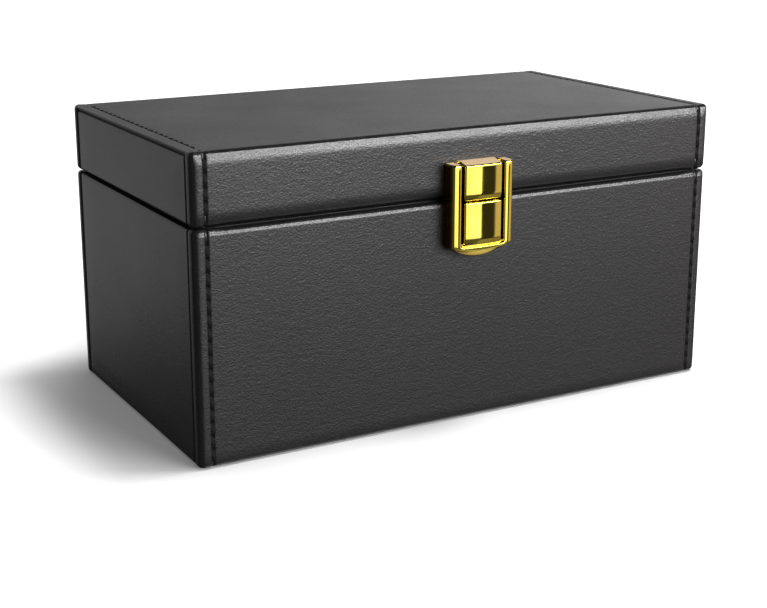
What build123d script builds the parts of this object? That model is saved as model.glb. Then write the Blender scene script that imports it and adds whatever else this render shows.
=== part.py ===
from build123d import *
import os
from math import cos, radians, sin

# A key box of fibre board covered in padded leather and lined with conductive fabric,
# with a lid on two stop hinges and a slam latch that a push button opens.
# Millimetres. X runs along the front, Y from the front to the back, Z is up.
# The origin is the centre of the underside.

# ---- case ----
width = 200.0  # left to right, over the leather
depth = 112.0  # front to back, over the leather
height = 101.0  # table to the top of the closed lid
lid_height = 23.2  # rim of the lid to its top
split_gap = 1.2  # between the rims of the body and the lid
board = 5.0  # thickness of every board
leather = 1.2  # cover with its thin padding
lining = 0.8  # conductive fabric on its backing
table_gap = 0.3  # from the table to the covers: the felt stands proud of them
corner_radius = 3.0  # upright corners
top_edge_radius = 2.2  # round the top of the lid
lid_rim_bevel = 1.1
body_rim_bevel = 0.7
foot_radius = 1.4
panel_edge_radius = 0.9  # softened edge of the end panels
panel_groove = 1.2  # between an end panel and the front or back wrap
panel_seam = 0.2  # between an end panel's turned-in edges and the front or back wrap
top_border = 1.6  # the lid's wrap shows this high above its end panels
top_groove = 0.5
seal_height = 0.45  # each rim carries one conductive strip
seal_inset = 3.0  # from the outside of the leather to the strip

# ---- hinges ----
hinge_inset = 40.0  # from the end of the case to the middle of a hinge
leaf_width = 24.0
leaf_reach = 12.0  # from the pin to a leaf's far edge
leaf_thickness = 0.9
leaf_corner = 2.0
barrel_radius = 2.0
barrel_gap = 0.3  # from the barrel to the back of the case, and between knuckles
middle_knuckle = 8.0
pin_radius = 0.8
pin_running_fit = 0.05
opening_angle = 100.0  # full travel of the lid
stop_play = 5.0  # degrees from the full travel to the heels' contact
heel_reach = 3.8
heel_thickness = 1.4
leaf_screw_spacing = 14.0
leaf_screw_height = 7.4  # from the pin

# ---- screws ----
screw_radius = 0.8
screw_head_radius = 1.5
screw_head = 0.6
screw_sides = 8  # of the shank: its thread is left out
screw_grip = 3.3  # how far a hinge screw reaches into its board
bore_fit = 0.03  # radial, round a screw or a fixed pin

# ---- latch, with heights from the split and depths outwards from the front of the leather ----
latch_width = 23.5
rail_width = 3.45
rail_rise = 12.6  # top of the rails over the split
block_rise = 13.0  # top of the strike over the split
channel_drop = 15.2  # from the split to the lower end of the channel
channel_corner = 1.2
block_groove = 1.1  # between the rails and the strike or button
bead_bar = 1.95  # height of the bar under the channel, at its middle
bead_depth = 5.8  # front of the raised U-shaped bead
bead_bevel = 0.45
base_depth = 4.9  # front of the casting below the bead
arch_start = 0.1  # from the channel's lower end down to where the bar's and the foot's arches start
arch_rise = 3.85
arch_chamfer = 1.0
rail_gap = 0.4  # from the rails to the lid
deck_depth = 2.0
deck_thickness = 1.1
tub_wall = 0.8
tub_floor_gap = 0.5  # from the pressed button to the tub's floor
pocket_gap = 0.2
block_crown = 0.4
block_round = 0.6
block_gap = 0.4  # between the strike and the button
slide_gap = 0.3  # round the button, and from it to its stops
button_wall = 1.2
button_front_wall = 1.6
button_travel = 1.5
button_back = 1.8
flange_lip = 0.8
flange_thickness = 1.0
bar_drop = 4.7  # from the split to the top of the catch bar
bar_height = 1.4
bar_thickness = 1.7
tongue_width = 5.0
tongue_thickness = 1.1
tongue_gap = 0.3  # to the catch bar
tongue_front_gap = 0.45  # to the face of the pressed button
nose_height = 1.4
nose_bevel = 1.0
nose_bevel_run = 1.5
nose_reach = 1.2
strike_plate_gap = 0.35
strike_plate_thickness = 1.0
latch_screw_drop = 9.2
latch_screw_inset = 1.45  # from the casting's edge to the axis of its screw
strike_screw_rise = 6.8
strike_screw_spacing = 8.0
latch_screw_grip = 2.8  # how far a latch screw reaches into its casting
spring_radius = 1.75  # to the middle of the wire
spring_wire_radius = 0.25
spring_wire_sides = 4
spring_turns = 3
spring_end_gap = 0.1
spigot_length = 1.4

# ---- places worked out from the sizes ----
wall = leather + board
body_top = height - lid_height - split_gap
lid_bottom = height - lid_height
split = (body_top + lid_bottom) / 2
side = width / 2
front = depth / 2
board_side = side - leather
board_front = front - leather
inner_side = side - wall
inner_front = front - wall
cavity_side = inner_side - lining
cavity_front = inner_front - lining
felt_top = table_gap + leather
floor_top = felt_top + board
lid_board_top = height - leather
ceiling = lid_board_top - board
panel_half = inner_front - panel_seam
border = front - panel_half - panel_groove
hinge_spacing = width - 2 * hinge_inset
pin_y = front + barrel_radius + barrel_gap
notch = barrel_radius + barrel_gap
screw_length = leaf_thickness + leather + screw_grip
latch_screw_seat = -inner_front - screw_head
latch_screw_length = wall - screw_head + latch_screw_grip

channel_half = latch_width / 2 - rail_width
block_half = channel_half - block_groove
tub_half = block_half + flange_lip + slide_gap + tub_wall
rail_top = split + rail_rise
strike_top = split + block_rise
channel_bottom = split - channel_drop
bead_bottom = channel_bottom - bead_bar
arch_spring = channel_bottom - arch_start
latch_bottom = arch_spring - arch_rise
tub_bottom = channel_bottom - slide_gap - tub_wall
tub_top = body_top - leather - pocket_gap
button_top = split - block_gap / 2
strike_bottom = split + block_gap / 2
button_bottom = channel_bottom + slide_gap
skirt_top = tub_top - tub_wall - slide_gap
bar_bottom = split - bar_drop - bar_height
nose_top = bar_bottom - tongue_gap
spring_height = button_bottom + button_wall + slide_gap + spring_radius + spring_wire_radius

deck_back = deck_depth - deck_thickness
flange_front = deck_back - slide_gap
skirt_back = flange_front - flange_thickness
tub_floor = skirt_back - button_travel - tub_floor_gap
bar_front = skirt_back + bar_thickness
tongue_back = bar_front + tongue_gap
button_hollow = tongue_back + tongue_thickness + tongue_front_gap + button_travel
block_depth = button_hollow + button_front_wall


def block(x, y, z):
    """A box between two places on each axis."""
    size = Box(x[1] - x[0], y[1] - y[0], z[1] - z[0])
    return Pos((x[0] + x[1]) / 2, (y[0] + y[1]) / 2, (z[0] + z[1]) / 2) * size


def latch_block(half, z, out):
    """A box centred on the latch, between two depths outwards from the leather."""
    return block((-half, half), (-front - out[1], -front - out[0]), z)


def first(edges, axis):
    """The edges that lie lowest along an axis."""
    return edges.group_by(axis)[0]


def last(edges, axis):
    """The edges that lie highest along an axis."""
    return edges.group_by(axis)[-1]


# ---- screws ----
def screw(length, fit=0.0):
    """A pan-head screw along -Z with its head standing on the origin, or its hole with a fit."""
    head = Pos(0, 0, screw_head / 2) * Cylinder(screw_head_radius + fit, screw_head)
    return head + extrude(RegularPolygon(screw_radius + fit, screw_sides), -length)


def at_places(solid, places):
    """Copies of a solid that points along -Y, as one compound."""
    return Compound([Pos(*place) * Rot(-90, 0, 0) * solid for place in places])


def leaf_screw_places(side_of_pin):
    """Where the screws of both lower leaves (-1) or both upper leaves (1) meet their leaves."""
    z = split + side_of_pin * leaf_screw_height
    xs = [(hand * hinge_spacing + end * leaf_screw_spacing) / 2 for hand in (-1, 1) for end in (-1, 1)]
    return [(x, front + leaf_thickness, z) for x in xs]


def latch_screw_places():
    half = latch_width / 2 - latch_screw_inset
    return [(x, latch_screw_seat, split - latch_screw_drop) for x in (-half, half)]


def strike_screw_places():
    half = strike_screw_spacing / 2
    return [(x, latch_screw_seat, split + strike_screw_rise) for x in (-half, half)]


def leaf_holes(side_of_pin):
    return at_places(screw(screw_length, bore_fit), leaf_screw_places(side_of_pin))


def latch_holes(places):
    return at_places(screw(latch_screw_length, bore_fit), places)


# ---- covers ----
def case_between(bottom, top):
    """The outer form of the case between two heights, with its upright corners rounded."""
    return extrude(Pos(0, 0, bottom) * RectangleRounded(width, depth, corner_radius), top - bottom)


def body_wrap(front_or_back):
    """The leather on one long wall, turned in over its rim, under its foot and round both its ends."""
    skin = case_between(table_gap, body_top)
    skin = fillet(first(skin.edges(), Axis.Z), foot_radius)
    skin = chamfer(last(skin.edges(), Axis.Z), body_rim_bevel)
    skin -= block((-board_side, board_side), (-board_front, board_front), (felt_top, body_top - leather))
    y = sorted((front_or_back * inner_front, front_or_back * front))
    wrap = skin & block((-side, side), y, (0, body_top))
    for hand in (-1, 1):
        x = sorted((hand * board_side, hand * side))
        wrap -= block(x, (-front + border, front - border), (0, body_top))
    return wrap


def lid_wrap():
    """One piece of leather over the lid's front, top and back, turned in at the rims and the ends."""
    skin = case_between(lid_bottom, height)
    skin = chamfer(first(skin.edges(), Axis.Z), lid_rim_bevel)
    skin = fillet(last(skin.edges(), Axis.Z), top_edge_radius)
    inner = (lid_bottom + leather, lid_board_top)
    skin -= block((-board_side, board_side), (-board_front, board_front), inner)
    skin -= block((-side, side), (-inner_front, inner_front), (lid_bottom, lid_bottom + leather))
    for hand in (-1, 1):
        x = sorted((hand * board_side, hand * side))
        skin -= block(x, (-front + border, front - border), (lid_bottom, height - top_border))
    return skin


def end_panel(hand, bottom, top, turn_in_at_top):
    """The leather on one end, turned in below its board, and above it too on the body."""
    panel = block((-side, -inner_side), (-panel_half, panel_half), (bottom, top))
    high = top - leather if turn_in_at_top else top
    panel -= block((-board_side, -inner_side), (-panel_half, panel_half), (bottom + leather, high))
    panel = fillet(first(panel.edges(), Axis.X), panel_edge_radius)
    return panel if hand < 0 else mirror(panel, about=Plane.YZ)


# ---- boards ----
def pocket():
    """The space in the front wall that takes the latch's tub, open at the top of the board."""
    z = (tub_bottom - pocket_gap, tub_top + pocket_gap)
    return latch_block(tub_half + pocket_gap, z, (tub_floor - tub_wall - pocket_gap, 0))


def long_board(front_or_back, bottom, top):
    y = sorted((front_or_back * inner_front, front_or_back * board_front))
    return block((-board_side, board_side), y, (bottom, top))


def end_board(hand, bottom, top):
    x = sorted((hand * inner_side, hand * board_side))
    return block(x, (-inner_front, inner_front), (bottom, top))


def flat_board(half_x, half_y, bottom):
    return block((-half_x, half_x), (-half_y, half_y), (bottom, bottom + board))


# ---- linings and seals ----
def long_lining(front_or_back, bottom, top):
    y = sorted((front_or_back * cavity_front, front_or_back * inner_front))
    return block((-inner_side, inner_side), y, (bottom, top))


def end_lining(hand, bottom, top):
    x = sorted((hand * cavity_side, hand * inner_side))
    return block(x, (-cavity_front, cavity_front), (bottom, top))


def flat_lining(bottom):
    return block((-cavity_side, cavity_side), (-cavity_front, cavity_front), (bottom, bottom + lining))


def rim_seal(bottom):
    """A flat strip of conductive fabric round the inner part of a rim."""
    outline = Rectangle(width - 2 * seal_inset, depth - 2 * seal_inset)
    ring = outline - Rectangle(2 * cavity_side, 2 * cavity_front)
    return extrude(Pos(0, 0, bottom) * ring, seal_height)


def base_felt():
    """The felt under the floor, between the turned-in covers."""
    x, y = inner_side - panel_seam, inner_front - panel_seam
    return block((-x, x), (-y, y), (0, felt_top))


# ---- hinges, built at the middle of the box and moved to their places ----
def around_pin(profile, x):
    """A profile in (Y, Z) from the pin, extruded between two places along X."""
    plane = Plane((x[0], pin_y, split), x_dir=(0, 1, 0), z_dir=(1, 0, 0))
    return extrude(plane * profile, x[1] - x[0])


def leaf_plate(side_of_pin):
    """The screwed part of a leaf, flat on the back of the case, with rounded far corners."""
    z = sorted((split + side_of_pin * notch, split + side_of_pin * leaf_reach))
    plate = block((-leaf_width / 2, leaf_width / 2), (front, front + leaf_thickness), z)
    far = plate.edges().filter_by(Axis.Y).sort_by(Axis.Z)
    return fillet(far[:2] if side_of_pin < 0 else far[2:], leaf_corner)


def knuckle(side_of_pin, x, bore):
    """One knuckle and the web that joins it to its leaf's plate."""
    web = Pos(-notch + leaf_thickness / 2, side_of_pin * notch / 2) * Rectangle(leaf_thickness, notch)
    return around_pin(Circle(barrel_radius) + web - Circle(bore), x)


def heel(x, bore):
    """The step behind a lower knuckle that the upper leaf's plate meets just past the full travel."""
    turn = radians(opening_angle + stop_play)
    face = notch - leaf_thickness
    along = Vector(sin(turn), cos(turn))
    across = Vector(-cos(turn), sin(turn))
    inner, outer = across * face, across * face + along * heel_reach
    corners = [inner, outer, outer - across * heel_thickness, inner - across * heel_thickness]
    profile = make_face(Polyline(*[(c.X, c.Y) for c in corners], close=True))
    return around_pin(profile - Circle(bore), x)


def hinge_lower():
    """The leaf on the body, with the two outer knuckles and their heels."""
    near, far = middle_knuckle / 2 + barrel_gap, leaf_width / 2
    bore = pin_radius + bore_fit
    leaf = leaf_plate(-1)
    for x in ((-far, -near), (near, far)):
        leaf += knuckle(-1, x, bore) + heel(x, bore)
    return leaf


def hinge_upper():
    """The leaf on the lid, with the middle knuckle."""
    half = middle_knuckle / 2
    return leaf_plate(1) + knuckle(1, (-half, half), pin_radius + pin_running_fit)


def hinge_pin():
    """A plain pin, held in the two outer knuckles."""
    return around_pin(Circle(pin_radius), (-leaf_width / 2, leaf_width / 2))


# ---- latch ----
def front_plane(out):
    return Plane((0, -front - out, 0), x_dir=(1, 0, 0), z_dir=(0, -1, 0))


def upright(half, bottom, top, corner):
    """A tall rectangle in front view with its two lower corners rounded."""
    shape = Pos(0, (bottom + top) / 2) * Rectangle(2 * half, top - bottom)
    return fillet(shape.vertices().group_by(Axis.Y)[0], corner)


def arched(bottom):
    """The casting in front view, with straight sides and a lower edge arched down to a height."""
    left, right = (-latch_width / 2, arch_spring), (latch_width / 2, arch_spring)
    sides = Polyline(right, (right[0], rail_top), (left[0], rail_top), left)
    return make_face([*sides.edges(), ThreePointArc(left, (0, bottom), right)])


def latch_base():
    """The casting's foot and sides, with the lower edge bevelled."""
    base = extrude(front_plane(0) * arched(latch_bottom), base_depth)
    rim = base.edges().filter_by(GeomType.CIRCLE).group_by(Axis.Y)[0]
    return chamfer(rim, arch_chamfer)


def latch_bead():
    """The raised U-shaped bead of the rails and the bar below the channel, bevelled along its edges."""
    ring = arched(bead_bottom) - upright(channel_half, channel_bottom, rail_top, channel_corner)
    bead = extrude(front_plane(base_depth) * ring, bead_depth - base_depth)
    return chamfer(first(bead.edges(), Axis.Y), bead_bevel)


def latch_housing():
    """The casting on the front: rails, deck round the button and a tub let into the board."""
    casting = latch_base() + latch_bead()
    casting += latch_block(tub_half, (tub_bottom, tub_top), (tub_floor - tub_wall, 0))
    channel = upright(channel_half, channel_bottom, rail_top, channel_corner)
    casting -= extrude(front_plane(deck_depth) * channel, bead_depth - deck_depth)
    casting -= latch_block(channel_half, (split, rail_top), (0, deck_depth))
    casting -= latch_block(latch_width / 2, (split, rail_top), (0, rail_gap))
    casting -= latch_block(block_half + slide_gap, (channel_bottom, split), (0, deck_depth))
    inside = (tub_bottom + tub_wall, tub_top - tub_wall)
    casting -= latch_block(tub_half - tub_wall, inside, (tub_floor, deck_back))
    return casting - latch_holes(latch_screw_places())


def pillow(bottom, top, back):
    """A solid block with a gently crowned front and softened front edges."""
    left, right = -block_half, block_half
    shoulder = -front - block_depth + block_crown
    sides = Polyline((left, shoulder), (left, -front - back), (right, -front - back), (right, shoulder))
    crown = ThreePointArc((left, shoulder), (0, -front - block_depth), (right, shoulder))
    solid = extrude(Pos(0, 0, bottom) * make_face([*sides.edges(), crown]), top - bottom)
    curved = solid.edges().filter_by(GeomType.CIRCLE)
    upright_edges = first(solid.edges().filter_by(Axis.Z), Axis.Y)
    return fillet(curved + upright_edges, block_round)


def tongue():
    """The hooked tongue that hangs from the strike into the button."""
    low, back = nose_top - nose_height, tongue_back
    tip = back - nose_reach
    outer = back + tongue_thickness
    profile = [
        (outer, strike_bottom + tongue_thickness),
        (back, strike_bottom + tongue_thickness),
        (back, nose_top),
        (tip, nose_top),
        (tip, low + nose_bevel),
        (tip + nose_bevel_run, low),
        (outer, low),
    ]
    plane = Plane((tongue_width / 2, -front, 0), x_dir=(0, -1, 0), z_dir=(-1, 0, 0))
    return extrude(plane * make_face(Polyline(*profile, close=True)), tongue_width)


def latch_strike():
    """The upper block on the lid, with its base plate between the rails and its tongue."""
    bottom = lid_bottom + leather
    strike = pillow(strike_bottom, strike_top, 0)
    strike -= latch_block(block_half, (strike_bottom, bottom), (0, tongue_back))
    strike += latch_block(channel_half - strike_plate_gap, (bottom, rail_top), (0, strike_plate_thickness))
    return strike + tongue() - latch_holes(strike_screw_places())


def latch_button():
    """The hollow push button, with its stop flange, catch bar and spring spigot."""
    hollow_half = block_half - button_wall
    button = pillow(button_bottom, button_top, button_back)
    button += latch_block(block_half, (button_bottom, skirt_top), (skirt_back, button_back))
    button += latch_block(block_half + flange_lip, (channel_bottom, skirt_top), (skirt_back, flange_front))
    hollow = (button_bottom + button_wall, button_top - button_wall)
    button -= latch_block(hollow_half, hollow, (skirt_back, button_hollow))
    slot = tongue_width / 2 + tongue_gap
    button -= latch_block(slot, (button_top - button_wall, button_top), (button_back, button_hollow))
    button += latch_block(hollow_half, (bar_bottom, bar_bottom + bar_height), (skirt_back, bar_front))
    spigot = Circle(spring_radius - spring_wire_radius - slide_gap)
    seat = front_plane(button_hollow - spigot_length) * Pos(0, spring_height) * spigot
    return button + extrude(seat, spigot_length)


def latch_spring():
    """The compression spring of square wire, from the tub's floor to the back of the button's face."""
    low = tub_floor + spring_end_gap + spring_wire_radius
    high = button_hollow - spring_end_gap - spring_wire_radius
    coil = Helix((high - low) / spring_turns, high - low, spring_radius)
    wire = Plane(origin=coil @ 0, z_dir=coil % 0) * RegularPolygon(spring_wire_radius, spring_wire_sides)
    spring = sweep(wire, path=coil, is_frenet=True)
    return Pos(0, -front - low, spring_height) * Rot(90, 0, 0) * spring


# ---- the pieces ----
def body_pieces():
    board_range = (felt_top, body_top - leather)
    lining_range = (floor_top, body_top)
    latch_room = pocket() + latch_holes(latch_screw_places())
    hinge_holes = leaf_holes(-1)
    latch_screw = screw(latch_screw_length)
    leaf_screw = screw(screw_length)
    pieces = {
        "base_felt": base_felt(),
        "floor_board": flat_board(inner_side, inner_front, felt_top),
        "front_board": long_board(-1, *board_range) - latch_room,
        "back_board": long_board(1, *board_range) - hinge_holes,
        "front_cover": body_wrap(-1) - latch_room,
        "back_cover": body_wrap(1) - hinge_holes,
        "floor_lining": flat_lining(floor_top),
        "front_lining": long_lining(-1, *lining_range),
        "back_lining": long_lining(1, *lining_range),
        "body_rim_seal": rim_seal(body_top),
        "latch_housing": latch_housing(),
        "latch_spring": latch_spring(),
        "latch_screws": at_places(latch_screw, latch_screw_places()),
        "hinge_lower_screws": at_places(leaf_screw, leaf_screw_places(-1)),
    }
    for name, hand in (("left", -1), ("right", 1)):
        hinge_place = Pos(hand * hinge_spacing / 2, 0, 0)
        pieces[f"{name}_board"] = end_board(hand, *board_range)
        pieces[f"{name}_cover"] = end_panel(hand, table_gap, body_top, turn_in_at_top=True)
        pieces[f"{name}_lining"] = end_lining(hand, *lining_range)
        pieces[f"hinge_lower_{name}"] = hinge_place * hinge_lower() - hinge_holes
        pieces[f"hinge_pin_{name}"] = hinge_place * hinge_pin()
    return pieces


def lid_pieces():
    wall_range = (lid_bottom + leather, ceiling)
    lining_range = (lid_bottom, ceiling)
    strike_holes = latch_holes(strike_screw_places())
    hinge_holes = leaf_holes(1)
    panel_top = height - top_border - top_groove
    strike_screw = screw(latch_screw_length)
    leaf_screw = screw(screw_length)
    pieces = {
        "lid_top_board": flat_board(board_side, board_front, ceiling),
        "lid_front_board": long_board(-1, *wall_range) - strike_holes,
        "lid_back_board": long_board(1, *wall_range) - hinge_holes,
        "lid_wrap": lid_wrap() - strike_holes - hinge_holes,
        "lid_top_lining": flat_lining(ceiling - lining),
        "lid_front_lining": long_lining(-1, *lining_range),
        "lid_back_lining": long_lining(1, *lining_range),
        "lid_rim_seal": rim_seal(lid_bottom - seal_height),
        "latch_strike": latch_strike(),
        "strike_screws": at_places(strike_screw, strike_screw_places()),
        "hinge_upper_screws": at_places(leaf_screw, leaf_screw_places(1)),
    }
    for name, hand in (("left", -1), ("right", 1)):
        hinge_place = Pos(hand * hinge_spacing / 2, 0, 0)
        pieces[f"lid_{name}_board"] = end_board(hand, *wall_range)
        pieces[f"lid_{name}_cover"] = end_panel(hand, lid_bottom, panel_top, turn_in_at_top=False)
        pieces[f"lid_{name}_lining"] = end_lining(hand, *lining_range)
        pieces[f"hinge_upper_{name}"] = hinge_place * hinge_upper() - hinge_holes
    return pieces


os.makedirs("parts", exist_ok=True)
for node, solid in (body_pieces() | lid_pieces() | {"latch_button": latch_button()}).items():
    export_step(solid, f"parts/{node}.step")
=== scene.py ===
import bpy
import bmesh
import math
import random
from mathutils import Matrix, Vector


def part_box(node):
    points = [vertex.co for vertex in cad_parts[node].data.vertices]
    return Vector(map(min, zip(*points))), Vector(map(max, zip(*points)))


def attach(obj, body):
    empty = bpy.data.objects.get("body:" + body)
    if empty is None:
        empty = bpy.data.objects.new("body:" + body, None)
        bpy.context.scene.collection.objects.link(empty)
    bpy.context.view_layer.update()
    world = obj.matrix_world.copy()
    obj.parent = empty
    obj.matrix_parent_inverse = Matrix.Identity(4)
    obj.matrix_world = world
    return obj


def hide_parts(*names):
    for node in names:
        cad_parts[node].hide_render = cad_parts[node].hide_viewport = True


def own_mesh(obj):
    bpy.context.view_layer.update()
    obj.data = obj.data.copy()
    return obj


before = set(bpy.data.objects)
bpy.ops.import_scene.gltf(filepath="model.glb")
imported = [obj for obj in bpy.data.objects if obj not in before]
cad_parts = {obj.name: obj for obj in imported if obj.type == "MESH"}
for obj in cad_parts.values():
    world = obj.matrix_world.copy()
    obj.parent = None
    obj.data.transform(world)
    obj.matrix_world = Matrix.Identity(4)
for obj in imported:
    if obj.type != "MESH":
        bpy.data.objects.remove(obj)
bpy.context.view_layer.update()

RNG = random.Random(7)
MM = 0.001
scene = bpy.context.scene

# ---------------------------------------------------------------- sizes, in mm, as the solids have them
SIDE, FRONT, TOP = 100.0, 56.0, 101.0
BODY_TOP, LID_BOTTOM, SPLIT = 76.6, 77.8, 77.2
CORNER = 2.6
FOOT_R, BODY_RIM_R, LID_RIM_R = 1.4, 1.0, 1.6
LEATHER = 1.0
INNER_SIDE, INNER_FRONT = 93.8, 49.8
WINDOW_Y, WINDOW_TOP = 51.3, 99.5
BOARD_COVER = 1.2  # from the outside of the leather to the boards
LEAN_FOOT = 96.2  # where the long walls of the lid begin to lean back
PANEL_Y, PANEL_TOP = 50.8, 99.1
RIM_LEAN = 0.5  # height of the strip that leans in below the body's front rim
TABLE_GAP = 0.3
SEAM = 95.4  # the stitch lines, from the middle
SEAM_PITCH = 4.4
HINGE_X, PIN_Y = 60.0, 58.3


# ---------------------------------------------------------------- material tools
def new_material(name):
    mat = bpy.data.materials.new(name)
    mat.use_nodes = True
    nodes, links = mat.node_tree.nodes, mat.node_tree.links
    return mat, nodes, links, nodes["Principled BSDF"]


def node(nodes, kind, **values):
    n = nodes.new(kind)
    for key, value in values.items():
        if key in n.inputs:
            n.inputs[key].default_value = value
        else:
            setattr(n, key, value)
    return n


def ramp(nodes, links, source, stops):
    r = nodes.new("ShaderNodeValToRGB")
    r.color_ramp.elements[0].position = stops[0][0]
    r.color_ramp.elements[0].color = stops[0][1]
    r.color_ramp.elements[1].position = stops[-1][0]
    r.color_ramp.elements[1].color = stops[-1][1]
    for position, colour in stops[1:-1]:
        e = r.color_ramp.elements.new(position)
        e.color = colour
    links.new(source, r.inputs["Fac"])
    return r


def grey(v, tint=0.0):
    return (v, v, v * (1 + tint), 1.0)


def remap(nodes, links, source, low, high, from_low=0.0, from_high=1.0):
    m = nodes.new("ShaderNodeMapRange")
    m.inputs["From Min"].default_value = from_low
    m.inputs["From Max"].default_value = from_high
    m.inputs["To Min"].default_value = low
    m.inputs["To Max"].default_value = high
    links.new(source, m.inputs["Value"])
    return m


def math_node(nodes, links, operation, a, b=None):
    m = nodes.new("ShaderNodeMath")
    m.operation = operation
    for i, v in enumerate((a, b)):
        if v is None:
            continue
        if isinstance(v, (int, float)):
            m.inputs[i].default_value = v
        else:
            links.new(v, m.inputs[i])
    return m.outputs[0]


def bump(nodes, links, bsdf, height, strength, distance, normal=None):
    b = nodes.new("ShaderNodeBump")
    b.inputs["Strength"].default_value = strength
    b.inputs["Distance"].default_value = distance
    links.new(height, b.inputs["Height"])
    if normal is not None:
        links.new(normal, b.inputs["Normal"])
    links.new(b.outputs["Normal"], bsdf.inputs["Normal"])
    return b.outputs["Normal"]


def leather_material(name, grain, rough, smooth):
    mat, nodes, links, bsdf = new_material(name)
    place = nodes.new("ShaderNodeTexCoord").outputs["Object"]
    cloud = node(nodes, "ShaderNodeTexNoise", Scale=38.0, Detail=4.0, Roughness=0.6)
    pores = node(nodes, "ShaderNodeTexVoronoi", Scale=1700.0, Randomness=1.0)
    pores.feature = "SMOOTH_F1"
    fine = node(nodes, "ShaderNodeTexNoise", Scale=2300.0, Detail=3.0, Roughness=0.7)
    crease = node(nodes, "ShaderNodeTexNoise", Scale=900.0, Detail=3.0, Roughness=0.6)
    wide = nodes.new("ShaderNodeMapping")
    wide.inputs["Scale"].default_value = (0.45, 0.45, 1.0)
    links.new(place, wide.inputs["Vector"])
    for texture in (cloud, pores):
        links.new(place, texture.inputs["Vector"])
    for texture in (fine, crease):
        links.new(wide.outputs["Vector"], texture.inputs["Vector"])
    tone = math_node(nodes, links, "ADD",
                     math_node(nodes, links, "MULTIPLY", cloud.outputs["Fac"], 0.35),
                     math_node(nodes, links, "MULTIPLY", fine.outputs["Fac"], 0.65))
    colour = ramp(nodes, links, tone, [(0.35, grey(0.005, 0.06)), (0.5, grey(0.009, 0.06)),
                                       (0.66, grey(0.018, 0.06))])
    links.new(colour.outputs["Color"], bsdf.inputs["Base Color"])
    gloss = remap(nodes, links, tone, rough, smooth, 0.35, 0.65)
    facing = nodes.new("ShaderNodeSeparateXYZ")
    links.new(nodes.new("ShaderNodeTexCoord").outputs["Normal"], facing.inputs["Vector"])
    top = remap(nodes, links, facing.outputs["Z"], 0.0, 0.24, 0.93, 0.99)
    links.new(math_node(nodes, links, "ADD", gloss.outputs["Result"], top.outputs["Result"]), bsdf.inputs["Roughness"])
    height = math_node(nodes, links, "ADD",
                       math_node(nodes, links, "MULTIPLY", pores.outputs["Distance"], 0.6),
                       math_node(nodes, links, "MULTIPLY", fine.outputs["Fac"], 0.8))
    height = math_node(nodes, links, "ADD", height,
                       math_node(nodes, links, "MULTIPLY", crease.outputs["Fac"], 0.7))
    bump(nodes, links, bsdf, height, grain, 0.00014)
    bsdf.inputs["Specular IOR Level"].default_value = 0.78
    return mat


def thread_material():
    mat, nodes, links, bsdf = new_material("black_thread")
    place = nodes.new("ShaderNodeTexCoord").outputs["Object"]
    fibres = node(nodes, "ShaderNodeTexNoise", Scale=3200.0, Detail=3.0, Roughness=0.6)
    links.new(place, fibres.inputs["Vector"])
    colour = ramp(nodes, links, fibres.outputs["Fac"], [(0.3, grey(0.002)), (0.7, grey(0.007))])
    links.new(colour.outputs["Color"], bsdf.inputs["Base Color"])
    rough = remap(nodes, links, fibres.outputs["Fac"], 0.6, 0.8)
    links.new(rough.outputs["Result"], bsdf.inputs["Roughness"])
    bump(nodes, links, bsdf, fibres.outputs["Fac"], 0.5, 0.00006)
    bsdf.inputs["Specular IOR Level"].default_value = 0.2
    return mat


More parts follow.
